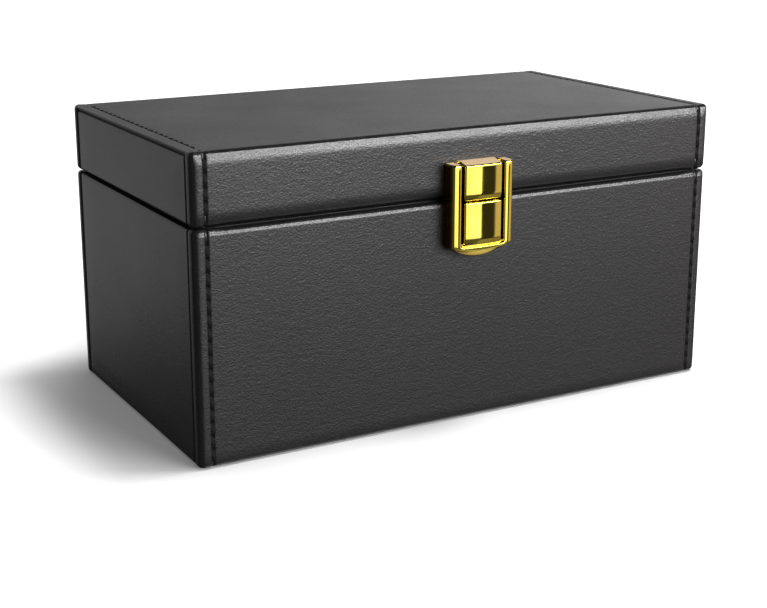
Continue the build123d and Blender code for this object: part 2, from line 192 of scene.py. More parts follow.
def gold_material():
    """Polished gold plate, with painted shade deep in the latch's recesses, where a dark brown is mixed into the colour
    and the plate is rougher.
    """
    mat, nodes, links, bsdf = new_material("gold_plate")
    place = nodes.new("ShaderNodeTexCoord").outputs["Object"]
    stretch = nodes.new("ShaderNodeMapping")
    stretch.inputs["Scale"].default_value = (1.0, 1.0, 0.08)
    links.new(place, stretch.inputs["Vector"])
    hairs = node(nodes, "ShaderNodeTexNoise", Scale=4200.0, Detail=2.0, Roughness=0.5)
    links.new(stretch.outputs["Vector"], hairs.inputs["Vector"])
    cloud = node(nodes, "ShaderNodeTexNoise", Scale=160.0, Detail=4.0, Roughness=0.6)
    links.new(place, cloud.inputs["Vector"])
    colour = ramp(nodes, links, cloud.outputs["Fac"],
                  [(0.3, (0.90, 0.72, 0.11, 1)), (0.5, (0.93, 0.76, 0.13, 1)), (0.7, (0.95, 0.78, 0.15, 1))])
    axes = nodes.new("ShaderNodeSeparateXYZ")
    links.new(place, axes.inputs["Vector"])
    # Painted shade: a mask for the latch's recesses, the parts close to the front plate and below the strike's top.
    deep = remap(nodes, links, axes.outputs["Y"], 0.0, 1.0, -0.0612, -0.0594)
    near = remap(nodes, links, axes.outputs["Y"], 1.0, 0.0, -0.050, -0.040)
    recess = math_node(nodes, links, "MULTIPLY", deep.outputs["Result"], near.outputs["Result"])
    below = remap(nodes, links, axes.outputs["Z"], 1.0, 0.0, 0.0888, 0.0893)
    recess = math_node(nodes, links, "MULTIPLY", recess, below.outputs["Result"])
    # Painted shade: the dark brown below is mixed into the gold where that mask is set.
    tint = nodes.new("ShaderNodeMix")
    tint.data_type = "RGBA"
    links.new(recess, tint.inputs["Factor"])
    links.new(colour.outputs["Color"], tint.inputs["A"])
    tint.inputs["B"].default_value = (0.30, 0.14, 0.035, 1)
    # Painted reflection: faces that point up, above the strike's top level, get a tan colour and less metal, standing
    # in for a reflection; their roughness is raised as well.
    facing = nodes.new("ShaderNodeSeparateXYZ")
    links.new(nodes.new("ShaderNodeTexCoord").outputs["Normal"], facing.inputs["Vector"])
    level = remap(nodes, links, facing.outputs["Z"], 0.0, 1.0, 0.9, 0.97)
    above = remap(nodes, links, axes.outputs["Z"], 0.0, 1.0, 0.0892, 0.0894)
    satin_and_painted_top_tone = math_node(nodes, links, "MULTIPLY", level.outputs["Result"], above.outputs["Result"])
    plain = nodes.new("ShaderNodeMix")
    plain.data_type = "RGBA"
    links.new(satin_and_painted_top_tone, plain.inputs["Factor"])
    links.new(tint.outputs["Result"], plain.inputs["A"])
    # The painted tan of the upward faces.
    plain.inputs["B"].default_value = (0.74, 0.53, 0.31, 1)
    links.new(plain.outputs["Result"], bsdf.inputs["Base Color"])
    metal = remap(nodes, links, satin_and_painted_top_tone, 1.0, 0.35)
    links.new(metal.outputs["Result"], bsdf.inputs["Metallic"])
    mixed = math_node(nodes, links, "ADD",
                      math_node(nodes, links, "MULTIPLY", cloud.outputs["Fac"], 0.6),
                      math_node(nodes, links, "MULTIPLY", hairs.outputs["Fac"], 0.4))
    rough = remap(nodes, links, mixed, 0.03, 0.07, 0.35, 0.65)
    dull = math_node(nodes, links, "ADD", rough.outputs["Result"],
                     math_node(nodes, links, "MULTIPLY", recess, 0.16))
    dull = math_node(nodes, links, "ADD", dull, math_node(nodes, links, "MULTIPLY", satin_and_painted_top_tone, 0.42))
    links.new(dull, bsdf.inputs["Roughness"])
    bump(nodes, links, bsdf, hairs.outputs["Fac"], 0.03, 0.00001)
    return mat


def steel_material():
    mat, nodes, links, bsdf = new_material("steel")
    place = nodes.new("ShaderNodeTexCoord").outputs["Object"]
    cloud = node(nodes, "ShaderNodeTexNoise", Scale=900.0, Detail=4.0, Roughness=0.6)
    links.new(place, cloud.inputs["Vector"])
    colour = ramp(nodes, links, cloud.outputs["Fac"], [(0.3, grey(0.40)), (0.7, grey(0.62, 0.02))])
    links.new(colour.outputs["Color"], bsdf.inputs["Base Color"])
    bsdf.inputs["Metallic"].default_value = 1.0
    rough = remap(nodes, links, cloud.outputs["Fac"], 0.22, 0.4, 0.3, 0.7)
    links.new(rough.outputs["Result"], bsdf.inputs["Roughness"])
    bump(nodes, links, bsdf, cloud.outputs["Fac"], 0.15, 0.00003)
    return mat


def fabric_material(name, shade, metallic):
    """A plain weave of conductive yarn."""
    mat, nodes, links, bsdf = new_material(name)
    place = nodes.new("ShaderNodeTexCoord").outputs["Object"]
    split = nodes.new("ShaderNodeSeparateXYZ")
    links.new(place, split.inputs["Vector"])
    pitch = 2 * math.pi / (0.55 * MM)
    waves = [math_node(nodes, links, "SINE", math_node(nodes, links, "MULTIPLY", split.outputs[axis], pitch))
             for axis in range(3)]
    product = math_node(nodes, links, "MULTIPLY", math_node(nodes, links, "ADD", waves[0], waves[1]), waves[2])
    weave = math_node(nodes, links, "ADD", product,
                      math_node(nodes, links, "MULTIPLY", waves[0], waves[1]))
    slub = node(nodes, "ShaderNodeTexNoise", Scale=300.0, Detail=5.0, Roughness=0.7)
    links.new(place, slub.inputs["Vector"])
    level = remap(nodes, links, weave, 0.0, 1.0, -1.5, 1.5)
    tone = math_node(nodes, links, "ADD",
                     math_node(nodes, links, "MULTIPLY", level.outputs["Result"], 0.5),
                     math_node(nodes, links, "MULTIPLY", slub.outputs["Fac"], 0.5))
    colour = ramp(nodes, links, tone, [(0.2, grey(0.17 * shade, 0.03)), (0.5, grey(0.30 * shade, 0.03)), (0.8, grey(0.44 * shade, 0.03))])
    links.new(colour.outputs["Color"], bsdf.inputs["Base Color"])
    bsdf.inputs["Metallic"].default_value = metallic
    rough = remap(nodes, links, slub.outputs["Fac"], 0.45, 0.65, 0.3, 0.7)
    links.new(rough.outputs["Result"], bsdf.inputs["Roughness"])
    bump(nodes, links, bsdf, tone, 0.5, 0.00012)
    bsdf.inputs["Sheen Weight"].default_value = 0.2 * shade
    return mat


def felt_material():
    mat, nodes, links, bsdf = new_material("felt")
    place = nodes.new("ShaderNodeTexCoord").outputs["Object"]
    fibres = node(nodes, "ShaderNodeTexNoise", Scale=1500.0, Detail=6.0, Roughness=0.75)
    tufts = node(nodes, "ShaderNodeTexNoise", Scale=220.0, Detail=3.0, Roughness=0.6)
    for texture in (fibres, tufts):
        links.new(place, texture.inputs["Vector"])
    tone = math_node(nodes, links, "ADD",
                     math_node(nodes, links, "MULTIPLY", fibres.outputs["Fac"], 0.6),
                     math_node(nodes, links, "MULTIPLY", tufts.outputs["Fac"], 0.4))
    colour = ramp(nodes, links, tone, [(0.3, grey(0.008)), (0.7, grey(0.04))])
    links.new(colour.outputs["Color"], bsdf.inputs["Base Color"])
    rough = remap(nodes, links, tone, 0.85, 1.0)
    links.new(rough.outputs["Result"], bsdf.inputs["Roughness"])
    bump(nodes, links, bsdf, tone, 0.8, 0.0002)
    bsdf.inputs["Sheen Weight"].default_value = 0.4
    return mat


def board_material():
    """Pressed wood fibre, with short fibres and darker flecks."""
    mat, nodes, links, bsdf = new_material("fibre_board")
    place = nodes.new("ShaderNodeTexCoord").outputs["Object"]
    fibres = node(nodes, "ShaderNodeTexNoise", Scale=1100.0, Detail=5.0, Roughness=0.7)
    flecks = node(nodes, "ShaderNodeTexVoronoi", Scale=700.0)
    cloud = node(nodes, "ShaderNodeTexNoise", Scale=60.0, Detail=3.0)
    for texture in (fibres, flecks, cloud):
        links.new(place, texture.inputs["Vector"])
    tone = math_node(nodes, links, "ADD",
                     math_node(nodes, links, "MULTIPLY", fibres.outputs["Fac"], 0.6),
                     math_node(nodes, links, "MULTIPLY", flecks.outputs["Distance"], 0.4))
    colour = ramp(nodes, links, tone, [(0.25, (0.13, 0.085, 0.05, 1)), (0.5, (0.25, 0.17, 0.10, 1)),
                                       (0.75, (0.34, 0.24, 0.15, 1))])
    links.new(colour.outputs["Color"], bsdf.inputs["Base Color"])
    rough = remap(nodes, links, cloud.outputs["Fac"], 0.75, 0.95)
    links.new(rough.outputs["Result"], bsdf.inputs["Roughness"])
    bump(nodes, links, bsdf, tone, 0.4, 0.0001)
    return mat


LEATHER_MAT = leather_material("black_leather", 0.62, 0.36, 0.27)
PANEL_MAT = leather_material("black_leather_panel", 0.22, 0.28, 0.21)
THREAD_MAT = thread_material()
GOLD_MAT = gold_material()
STEEL_MAT = steel_material()
FABRIC_MAT = fabric_material("shielding_fabric", 1.0, 0.5)
# Painted shade: the rim strips get a nearly black, non-metal copy of the shielding fabric, so the gap between lid and
# body reads as shadow.
PAINTED_SHADE_STRIP_MAT = fabric_material("shielding_strip_painted_shade", 0.05, 0.0)
FELT_MAT = felt_material()
BOARD_MAT = board_material()


# ---------------------------------------------------------------- mesh tools, working in mm
def make_piece(name, verts, faces, material, body, replaces=(), sharp=None):
    """A mesh object from points in mm, riding on a body and standing for CAD nodes."""
    mesh = bpy.data.meshes.new(name)
    mesh.from_pydata([Vector(v) * MM for v in verts], [], faces)
    bm = bmesh.new()
    bm.from_mesh(mesh)
    bmesh.ops.remove_doubles(bm, verts=bm.verts, dist=1e-7)
    bmesh.ops.dissolve_degenerate(bm, dist=1e-7, edges=bm.edges)
    bmesh.ops.recalc_face_normals(bm, faces=bm.faces)
    bm.to_mesh(mesh)
    bm.free()
    for poly in mesh.polygons:
        poly.use_smooth = True
    if sharp is not None:
        mesh.set_sharp_from_angle(angle=math.radians(sharp))
    obj = bpy.data.objects.new(name, mesh)
    scene.collection.objects.link(obj)
    obj.data.materials.append(material)
    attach(obj, body)
    if replaces:
        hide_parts(*replaces)
    return obj


def add_modifier(obj, kind, **values):
    m = obj.modifiers.new(kind.lower(), kind)
    for key, value in values.items():
        setattr(m, key, value)
    return m


def bevelled(obj, width, segments=3, angle=35.0):
    """Rounded edges and clean shading on a hard piece."""
    add_modifier(obj, "BEVEL", width=width * MM, segments=segments, limit_method="ANGLE",
                 angle_limit=math.radians(angle), use_clamp_overlap=True, harden_normals=False)
    add_modifier(obj, "WEIGHTED_NORMAL", keep_sharp=True)
    return obj


def spread(low, high, steps, fine=()):
    """Places from low to high about `steps` apart, finer near some places: (place, reach, step)."""
    places, x = [low], low
    while x < high - 1e-6:
        step = steps
        for place, reach, near in fine:
            gap = max(0.0, abs(x - place) - reach)
            step = min(step, near + gap * 0.35)
        x = min(high, x + step)
        places.append(x)
    if len(places) > 2 and places[-1] - places[-2] < 0.3 * (places[-2] - places[-3]):
        places.pop(-2)
    return places


def mirrored(places):
    """Places from the middle outwards, on both sides."""
    return [-p for p in reversed(places) if p > 1e-9] + places


def arc(cx, cy, r, start, end, count):
    """Points and outward directions on an arc, angles in degrees, ends included."""
    out = []
    for i in range(count + 1):
        a = math.radians(start + (end - start) * i / count)
        out.append((cx + r * math.cos(a), cy + r * math.sin(a), math.cos(a), math.sin(a)))
    return out


# ---------------------------------------------------------------- leather
FRONT_X = mirrored(spread(0.0, SIDE - CORNER, 3.0, [(SEAM, 1.4, 0.22)]))
END_Y = mirrored(spread(0.0, FRONT - CORNER, 3.0, [(WINDOW_Y, 1.2, 0.28)]))
CORNER_STEPS = 10


def front_run(y_side):
    """The long straight run of the front (-1) or back (1), left to right."""
    return [(x, y_side * FRONT, 0.0, float(y_side)) for x in FRONT_X]


def end_run(x_side, low=-99.0, high=99.0):
    return [(x_side * SIDE, y, float(x_side), 0.0) for y in END_Y if low <= y <= high]


def corner_run(x_side, y_side, start, end):
    return arc(x_side * (SIDE - CORNER), y_side * (FRONT - CORNER), CORNER, start, end, CORNER_STEPS)[1:-1]


def u_path(y_side):
    """The outline of the front or back wrap, from the left window to the right one."""
    if y_side < 0:
        left = [p for p in end_run(-1) if p[1] <= -PANEL_Y + 0.1][::-1]
        right = [p for p in end_run(1) if p[1] <= -PANEL_Y + 0.1]
        return left + corner_run(-1, -1, 180, 270) + front_run(-1) + corner_run(1, -1, 270, 360) + right
    left = [p for p in end_run(-1) if p[1] >= PANEL_Y - 0.1]
    right = [p for p in end_run(1) if p[1] >= PANEL_Y - 0.1][::-1]
    return left + corner_run(-1, 1, 180, 90) + front_run(1) + corner_run(1, 1, 90, 0) + right


def rounding(edge_z, r, upward, count=7):
    """Rows of a rounded edge: (inset, height). upward is 1 for a top edge, -1 for a lower one."""
    rows = []
    for i in range(count + 1):
        a = math.radians(90.0 * i / count)
        rows.append((r - r * math.cos(a), edge_z - upward * (r - r * math.sin(a))))
    return rows


def wall_rows(low, high, step, fine=()):
    return [(0.0, z) for z in spread(low, high, step, fine)]


def smooth_step(t):
    t = max(0.0, min(1.0, t))
    return t * t * (3 - 2 * t)


def seam_dip(x, along, pitch_shift=0.0):
    """How deep the leather lies near a stitch line, with a deeper hole at each stitch's end."""
    d = abs(x) - SEAM
    phase = (along / SEAM_PITCH + pitch_shift) % 1.0
    hole = math.exp(-((phase - 0.5) * SEAM_PITCH / 0.8) ** 2) * math.exp(-(d / 0.5) ** 2)
    dip = 0.46 * math.exp(-(d / 0.52) ** 2) + 0.4 * hole
    if d > 0:
        return dip
    return dip + 0.05 + 0.07 * math.exp(-(d / 1.8) ** 2)


def puff(x, z, scale=31.0, seed=0.0):
    """Slight unevenness of the padding under the leather."""
    return 0.05 * (math.sin(x / scale + 1.3 + seed) * math.sin(z / (scale * 0.7) + 0.4 + 2 * seed)
                   + 0.5 * math.sin(x / (scale * 0.37) + z / 17.0 + 2.1 + seed))


def window_dip(y, z, top=None):
    """How far the wrap's edge on an end of the case rolls in towards the groove round the end panel."""
    e = abs(y) - WINDOW_Y
    if top is not None:
        e = max(e, z - top)
    return 0.98 * max(0.0, 1 - max(0.0, e) / 1.1) ** 2


def wall_share(ny):
    """1 on the long walls, 0 on the ends, smooth between on the upright corners."""
    return smooth_step((abs(ny) - 0.85) / 0.15)


def front_shape(z, kind):
    """How far the long walls curve in towards their rims."""
    if kind == "lid":
        return 0.85 * max(0.0, 1 - (z - LID_BOTTOM) / 4.8) ** 2
    foot = 0.34 * max(0.0, 1 - (z - TABLE_GAP) / 5.0) ** 2
    return foot + 0.12 * max(0.0, min(1.0, (z - (BODY_TOP - BODY_RIM_R - RIM_LEAN)) / RIM_LEAN))


def lid_edge(ny):
    """The lid's upper edge: radius of its roll, lean in degrees where it starts, and how far in it starts."""
    share = wall_share(ny)
    return 1.5 + 0.7 * share, 36.0 * share, share


def lid_edge_point(ny, kind, t):
    """Inset and height on the leaning strip ("lean") or the roll ("roll") above it, t from 0 to 1."""
    radius, start, share = lid_edge(ny)
    a0 = math.radians(start)
    crease = TOP - radius * (1 - math.sin(a0))
    bend = 0.62  # the strip bends over this share of its height, and is straight above it
    steep = math.tan(math.radians(15.0)) * (crease - LEAN_FOOT) * share
    sunk = steep * (bend / 2.5 + 1 - bend)
    if kind == "lean":
        lean = t ** 2.5 / (2.5 * bend ** 1.5) if t < bend else bend / 2.5 + t - bend
        return steep * lean, LEAN_FOOT + (crease - LEAN_FOOT) * t
    a = a0 + (math.pi / 2 - a0) * t
    return sunk + radius * (math.cos(a0) - math.cos(a)), TOP - radius * (1 - math.sin(a))


def covered(nx, ny, inset, z, kind):
    """The inset, held back where the leather must still cover the boards' upright edges."""
    low, high = (LID_BOTTOM, TOP) if kind == "lid" else (TABLE_GAP, BODY_TOP)
    if z < low + BOARD_COVER - 0.02 or z > high - BOARD_COVER + 0.02:
        return inset
    most = CORNER - (CORNER - BOARD_COVER) / max(abs(nx), abs(ny)) - 0.06
    return min(inset, most)


def wrap_point(px, py, nx, ny, inset, z, kind):
    """A point of the outer surface of a wrap, with its padding, seams and rolled edges."""
    sink = 0.0
    if abs(ny) > 0.5:
        swell = puff(px, z, seed=ny) * smooth_step((SEAM - 1.5 - abs(px)) / 8)
        fade = 1 - smooth_step((inset - 0.5) / 1.6)
        sink = (seam_dip(px, z) + 0.05 + swell + front_shape(z, kind)) * abs(ny) * fade
    if abs(nx) > 0.999:
        sink = min(window_dip(py, z, WINDOW_TOP if kind == "lid" else None), CORNER - 0.15 - inset)
    total = covered(nx, ny, inset + sink, z, kind)
    return (px - nx * total, py - ny * total, z)


def flap_point(px, py, nx, ny, z):
    """The inner edge of the leather that is turned in over a rim or under the foot."""
    if abs(ny) > 0.999:
        return (px, math.copysign(INNER_FRONT, ny), z)
    return (px - nx * CORNER, py - ny * CORNER, z)


def corner_rise(px, ny):
    """0 along the long walls, 1 near the upright corners, where the turned-in leather is folded double."""
    return smooth_step((abs(px) - 86.0) / 9.0) if abs(ny) > 0.999 else 1.0


def sheet_grid(path, rows, point):
    """Vertices and faces of a grid over a path and its rows."""
    verts = [point(p, r) for r in rows for p in path]
    n = len(path)
    faces = [(j * n + i, j * n + i + 1, (j + 1) * n + i + 1, (j + 1) * n + i)
             for j in range(len(rows) - 1) for i in range(n - 1)]
    return verts, faces


def thicken(obj, thickness=LEATHER):
    add_modifier(obj, "SOLIDIFY", thickness=thickness * MM, offset=-1.0, use_even_offset=False,
                 use_rim=True, use_quality_normals=True)
    return obj


def face_outwards(obj, centre=(0.0, 0.0, 0.05)):
    """Makes the sheet's normals point away from the middle of the case."""
    bm = bmesh.new()
    bm.from_mesh(obj.data)
    total = sum((f.calc_center_median() - Vector(centre)).dot(f.normal) * f.calc_area() for f in bm.faces)
    if total < 0:
        bmesh.ops.reverse_faces(bm, faces=bm.faces)
    bm.to_mesh(obj.data)
    bm.free()


def in_latch_opening(corners):
    """Whether a face of the front lies where the leather is cut out for the latch's tub."""
    x, y, z = (sum(c[a] for c in corners) / len(corners) for a in range(3))
    return y < -FRONT + 2 and abs(x) < 9.0 and 61.0 < z < 75.1


def body_wrap(name, y_side, replaced):
    path = u_path(y_side)
    rows = [("flap", TABLE_GAP)]
    rows += [("ring", d, z) for d, z in rounding(TABLE_GAP, FOOT_R, -1)[::-1]]
    rows += [("ring", d, z) for d, z in wall_rows(TABLE_GAP + FOOT_R, BODY_TOP - BODY_RIM_R - RIM_LEAN, 0.42)[1:]]
    rows += [("ring", 0.0, BODY_TOP - BODY_RIM_R - RIM_LEAN * q) for q in (0.85, 0.5, 0.15)]
    rows += [("rim", d, z) for d, z in rounding(BODY_TOP, BODY_RIM_R, 1)]
    rows += [("rim", 1.9, BODY_TOP), ("ring", 2.4, BODY_TOP), ("flap", BODY_TOP)]

    def point(p, row):
        px, py, nx, ny = p
        if row[0] == "flap":
            return flap_point(px, py, nx, ny, row[1])
        x, y, z = wrap_point(px, py, nx, ny, row[1], row[2], "body")
        if row[0] == "rim":
            z += 0.4 * corner_rise(px, ny) * (1 - (BODY_TOP - z) / BODY_RIM_R)
        return (x, y, z)

    verts, faces = sheet_grid(path, rows, point)
    if y_side < 0:
        faces = [f for f in faces if not in_latch_opening([verts[q] for q in f])]
    obj = make_piece(name, verts, faces, LEATHER_MAT, "box_body", replaced)
    face_outwards(obj)
    return thicken(obj)


def loop_path():
    """The whole outline of the lid, once round."""
    path = front_run(-1) + corner_run(1, -1, 270, 360) + end_run(1)
    path += corner_run(1, 1, 0, 90) + front_run(1)[::-1]
    path += corner_run(-1, 1, 90, 180) + end_run(-1)[::-1] + corner_run(-1, -1, 180, 270)
    return path


def top_dip(x, y):
    """The top of the lid: seams near both ends, and a slightly soft panel between them."""
    inside = min(SEAM - abs(x), FRONT - 3.0 - abs(y))
    return seam_dip(x, y, 0.25) + 0.04 + puff(x, y, 37.0, 0.8) * smooth_step(inside / 12)


def lid_wrap():
    path = loop_path()
    n = len(path)
    rows = [("flap", 0.0, LID_BOTTOM), ("ring", 2.4, LID_BOTTOM), ("rim", 1.9, LID_BOTTOM)]
    rows += [("rim", d, z) for d, z in rounding(LID_BOTTOM, LID_RIM_R, -1)[::-1]]
    rows += [("ring", d, z) for d, z in wall_rows(LID_BOTTOM + LID_RIM_R, LEAN_FOOT, 0.42)[1:]]
    rows += [("lean", t, 0.0) for t in (0.12, 0.24, 0.36, 0.48, 0.6, 0.7, 0.8, 0.88, 0.94, 0.98)]
    rows += [("roll", i / 14, 0.0) for i in range(15)]
    rows += [("top", t, 0.0) for t in (0.35, 0.7, 1.0)]

    def point(p, row):
        px, py, nx, ny = p
        kind, d, z = row
        if kind == "flap":
            return flap_point(px, py, nx, ny, z)
        flat = 0.0
        if kind in ("lean", "roll"):
            flat = smooth_step((d - 0.5) / 0.5) if kind == "roll" else 0.0
            d, z = lid_edge_point(ny, kind, d)
        if kind == "top":
            start = lid_edge_point(ny, "roll", 1.0)[0]
            d, z, flat = start + (CORNER - start) * d, TOP, 1.0
            x, y = px - nx * d, py - ny * d
        else:
            x, y, z = wrap_point(px, py, nx, ny, d, z, "lid")
        if kind == "rim":
            z -= 0.3 * corner_rise(px, ny) * max(0.0, 1 - (z - LID_BOTTOM) / LID_RIM_R)
        return (x, y, z - flat * top_dip(x, y))

    verts = [point(p, r) for r in rows for p in path]
    faces = []
    for j in range(len(rows) - 1):
        for i in range(n):
            k = (i + 1) % n
            quad = (j * n + i, j * n + k, (j + 1) * n + k, (j + 1) * n + i)
            mid = [sum(verts[q][a] for q in quad) / 4 for a in range(3)]
            if abs(path[i][2]) > 0.9 and abs(path[k][2]) > 0.9 and abs(mid[1]) < PANEL_Y - 0.1 \
                    and mid[2] < PANEL_TOP - 0.1:
                continue
            faces.append(quad)
    base = len(verts)
    xs, ys = FRONT_X, END_Y
    for y in ys:
        for x in xs:
            verts.append((x, y, TOP - top_dip(x, y)))
    m = len(xs)
    for j in range(len(ys) - 1):
        for i in range(m - 1):
            a = base + j * m + i
            faces.append((a, a + 1, a + m + 1, a + m))
    obj = make_piece("leather_lid_wrap", verts, faces, LEATHER_MAT, "lid", ["lid_wrap"])
    face_outwards(obj, (0, 0, 0.085))
    return thicken(obj)


def end_panel(name, hand, bottom, top, turn_top, body, replaced):
    """The leather on one end: a softly padded panel with rolled edges."""
    roll = 0.6
    half = PANEL_Y
    ys = mirrored(spread(0.0, half, 3.0, [(half, roll, 0.15)]))
    rim_r = 0.8
    low_r = FOOT_R if turn_top else 1.1
    rows = [("flap", bottom)]
    rows += [("ring", d, z) for d, z in rounding(bottom, low_r, -1)[::-1]]
    if turn_top:
        rows += [("ring", 0.0, z) for z in spread(bottom + low_r, top - rim_r, 2.2)[1:-1]]
        rows += [("ring", d, z) for d, z in rounding(top, rim_r, 1)]
        rows += [("flap", top)]
    else:
        rows += [("ring", 0.0, z) for z in spread(bottom + low_r, top - roll, 1.6)[1:-1]]
        rows += [("ring", d, z) for d, z in rounding(top, roll, 1)]

    def point(y, row):
        if row[0] == "flap":
            return (hand * (INNER_SIDE + 0.1), y, row[1])
        e = half - abs(y)
        dip = roll - math.sqrt(max(0.0, roll * roll - (roll - e) ** 2)) if e < roll else 0.0
        z = row[2]
        reach = min((z - bottom) / 9.0, (top - z) / 9.0, e / 9.0)
        soft = 0.14 * (1 - smooth_step(reach)) + puff(y, z, 27.0, 1.7 + hand) + 0.08
        return (hand * (SIDE - row[1] - dip - soft), y, z)

    verts, faces = sheet_grid(ys, rows, point)
    obj = make_piece(name, verts, faces, PANEL_MAT, body, replaced)
    face_outwards(obj, (0, 0, (bottom + top) / 2 * MM))
    return thicken(obj)


# ---------------------------------------------------------------- stitches
def tube(points, radius, sides, twist_turns=0.0, ply=0.0):
    """A closed tube in mm along points, its thickness set point by point, with a two-ply twist."""
    verts, faces = [], []
    count = len(points)
    up = None
    for i in range(count):
        a, b = Vector(points[max(0, i - 1)]), Vector(points[min(count - 1, i + 1)])
        along = (b - a).normalized()
        if up is None:
            up = along.orthogonal().normalized()
        up = (up - along * up.dot(along)).normalized()
        out = along.cross(up)
        r = radius[i] if isinstance(radius, (list, tuple)) else radius
        for k in range(sides):
            t = 2 * math.pi * k / sides
            rr = r * (1 + ply * math.cos(2 * (t - twist_turns * 2 * math.pi * i / count)))
            verts.append(tuple(Vector(points[i]) + (up * math.cos(t) + out * math.sin(t)) * rr))
    for i in range(count - 1):
        for k in range(sides):
            m = (k + 1) % sides
            faces.append((i * sides + k, i * sides + m, (i + 1) * sides + m, (i + 1) * sides + k))
    faces.append(tuple(range(sides))[::-1])
    faces.append(tuple((count - 1) * sides + k for k in range(sides)))
    return verts, faces


def stitch_line(name, places, body):
    """A row of stitches. Each place is (start, end, outward) in mm: wide near its start, thin where it goes in."""
    verts, faces = [], []
    steps, sides = 12, 12
    for start, end, outward in places:
        start, end, outward = Vector(start), Vector(end), Vector(outward)
        across = (end - start).cross(outward).normalized()
        base = len(verts)
        for i in range(steps + 1):
            t = i / steps
            full = math.sin(math.pi * (0.10 + 0.86 * t) ** 0.62)
            wide, deep = 0.36 + 0.84 * full, 0.17 + 0.26 * full
            centre = start.lerp(end, t) + outward * (0.42 * math.sin(math.pi * t) ** 0.6 - 0.44)
            for k in range(sides):
                a = 2 * math.pi * k / sides
                ply = 1 + 0.12 * math.cos(2 * a - 9.0 * t)
                verts.append(tuple(centre + across * (math.cos(a) * wide * ply) + outward * (math.sin(a) * deep * ply)))
        for i in range(steps):
            for k in range(sides):
                m = (k + 1) % sides
                faces.append((base + i * sides + k, base + i * sides + m,
                              base + (i + 1) * sides + m, base + (i + 1) * sides + k))
        faces.append(tuple(base + k for k in range(sides))[::-1])
        faces.append(tuple(base + steps * sides + k for k in range(sides)))
    return make_piece(name, verts, faces, THREAD_MAT, body)


def seam_places(hand, y_side, low, high):
    """Stitches on the front or back between two heights."""
    places = []
    k = math.ceil((low + 0.3) / SEAM_PITCH - 0.5)
    while (k + 1.5) * SEAM_PITCH < high:
        z0, z1 = (k + 0.5) * SEAM_PITCH, (k + 1.5) * SEAM_PITCH
        x = hand * SEAM
        y = y_side * (FRONT - 0.42)
        slant = 0.30
        places.append(((x + slant, y, z0 + 0.15), (x - slant, y, z1 - 0.05), (0, y_side, 0)))
        k += 1
    return places


def top_seam_places(hand):
    places = []
    k = math.ceil(-50.0 / SEAM_PITCH)
    while (k + 1.25) * SEAM_PITCH < 52.4:
        y0, y1 = (k + 0.25) * SEAM_PITCH, (k + 1.25) * SEAM_PITCH
        x = hand * SEAM
        places.append(((x + 0.26, y0 + 0.15, TOP - 0.44), (x - 0.26, y1 - 0.05, TOP - 0.44), (0, 0, 1)))
        k += 1
    return places


# ---------------------------------------------------------------- fabric slabs
def soft_slab(name, node_name, material, body, bulge=0.0, grid=4.0, seed=0.0, grow=0.0):
    """A slab of fabric on its backing in the place of a CAD slab, with rounded, slightly uneven edges."""
    lo, hi = (Vector(v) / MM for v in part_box(node_name))
    r = min(0.35, min(hi - lo) * 0.45)
    axes = []
    for a in range(3):
        inner = spread(lo[a] + r, hi[a] - r, grid) if hi[a] - lo[a] > 3 * r else [(lo[a] + hi[a]) / 2]
        if len(inner) == 1:
            inner = [lo[a] + r, hi[a] - r]
        ease = [r * (1 - math.cos(math.radians(q))) for q in (0, 30, 60)]
        axes.append([lo[a] + e for e in ease] + inner + [hi[a] - e for e in reversed(ease)])
    thin = min(range(3), key=lambda q: hi[q] - lo[q])
    index, verts, faces = {}, [], []

    def vert(i, j, k):
        key = (i, j, k)
        if key not in index:
            p = [axes[0][i], axes[1][j], axes[2][k]]
            core = [max(lo[a] + r, min(hi[a] - r, p[a])) for a in range(3)]
            d = Vector([p[a] - core[a] for a in range(3)])
            if d.length > 1e-9:
                d = d.normalized() * r
            q = Vector(core) + d
            u, v = [a for a in range(3) if a != thin]
            wave = bulge * 0.5 * (math.sin(q[u] / 9.0 + seed) * math.cos(q[v] / 7.0 + seed) - 1)
            sign = 1 if q[thin] > (lo[thin] + hi[thin]) / 2 else -1
            q[thin] += sign * wave
            index[key] = len(verts)
            verts.append(tuple(q))
        return index[key]

    sizes = [len(a) for a in axes]
    for a in range(3):
        u, v = [q for q in range(3) if q != a]
        for end in (0, sizes[a] - 1):
            for i in range(sizes[u] - 1):
                for j in range(sizes[v] - 1):
                    corner = []
                    for di, dj in ((0, 0), (1, 0), (1, 1), (0, 1)):
                        c = [0, 0, 0]
                        c[a], c[u], c[v] = end, i + di, j + dj
                        corner.append(vert(*c))
                    faces.append(tuple(corner))
    return make_piece(name, verts, faces, material, body, [node_name])


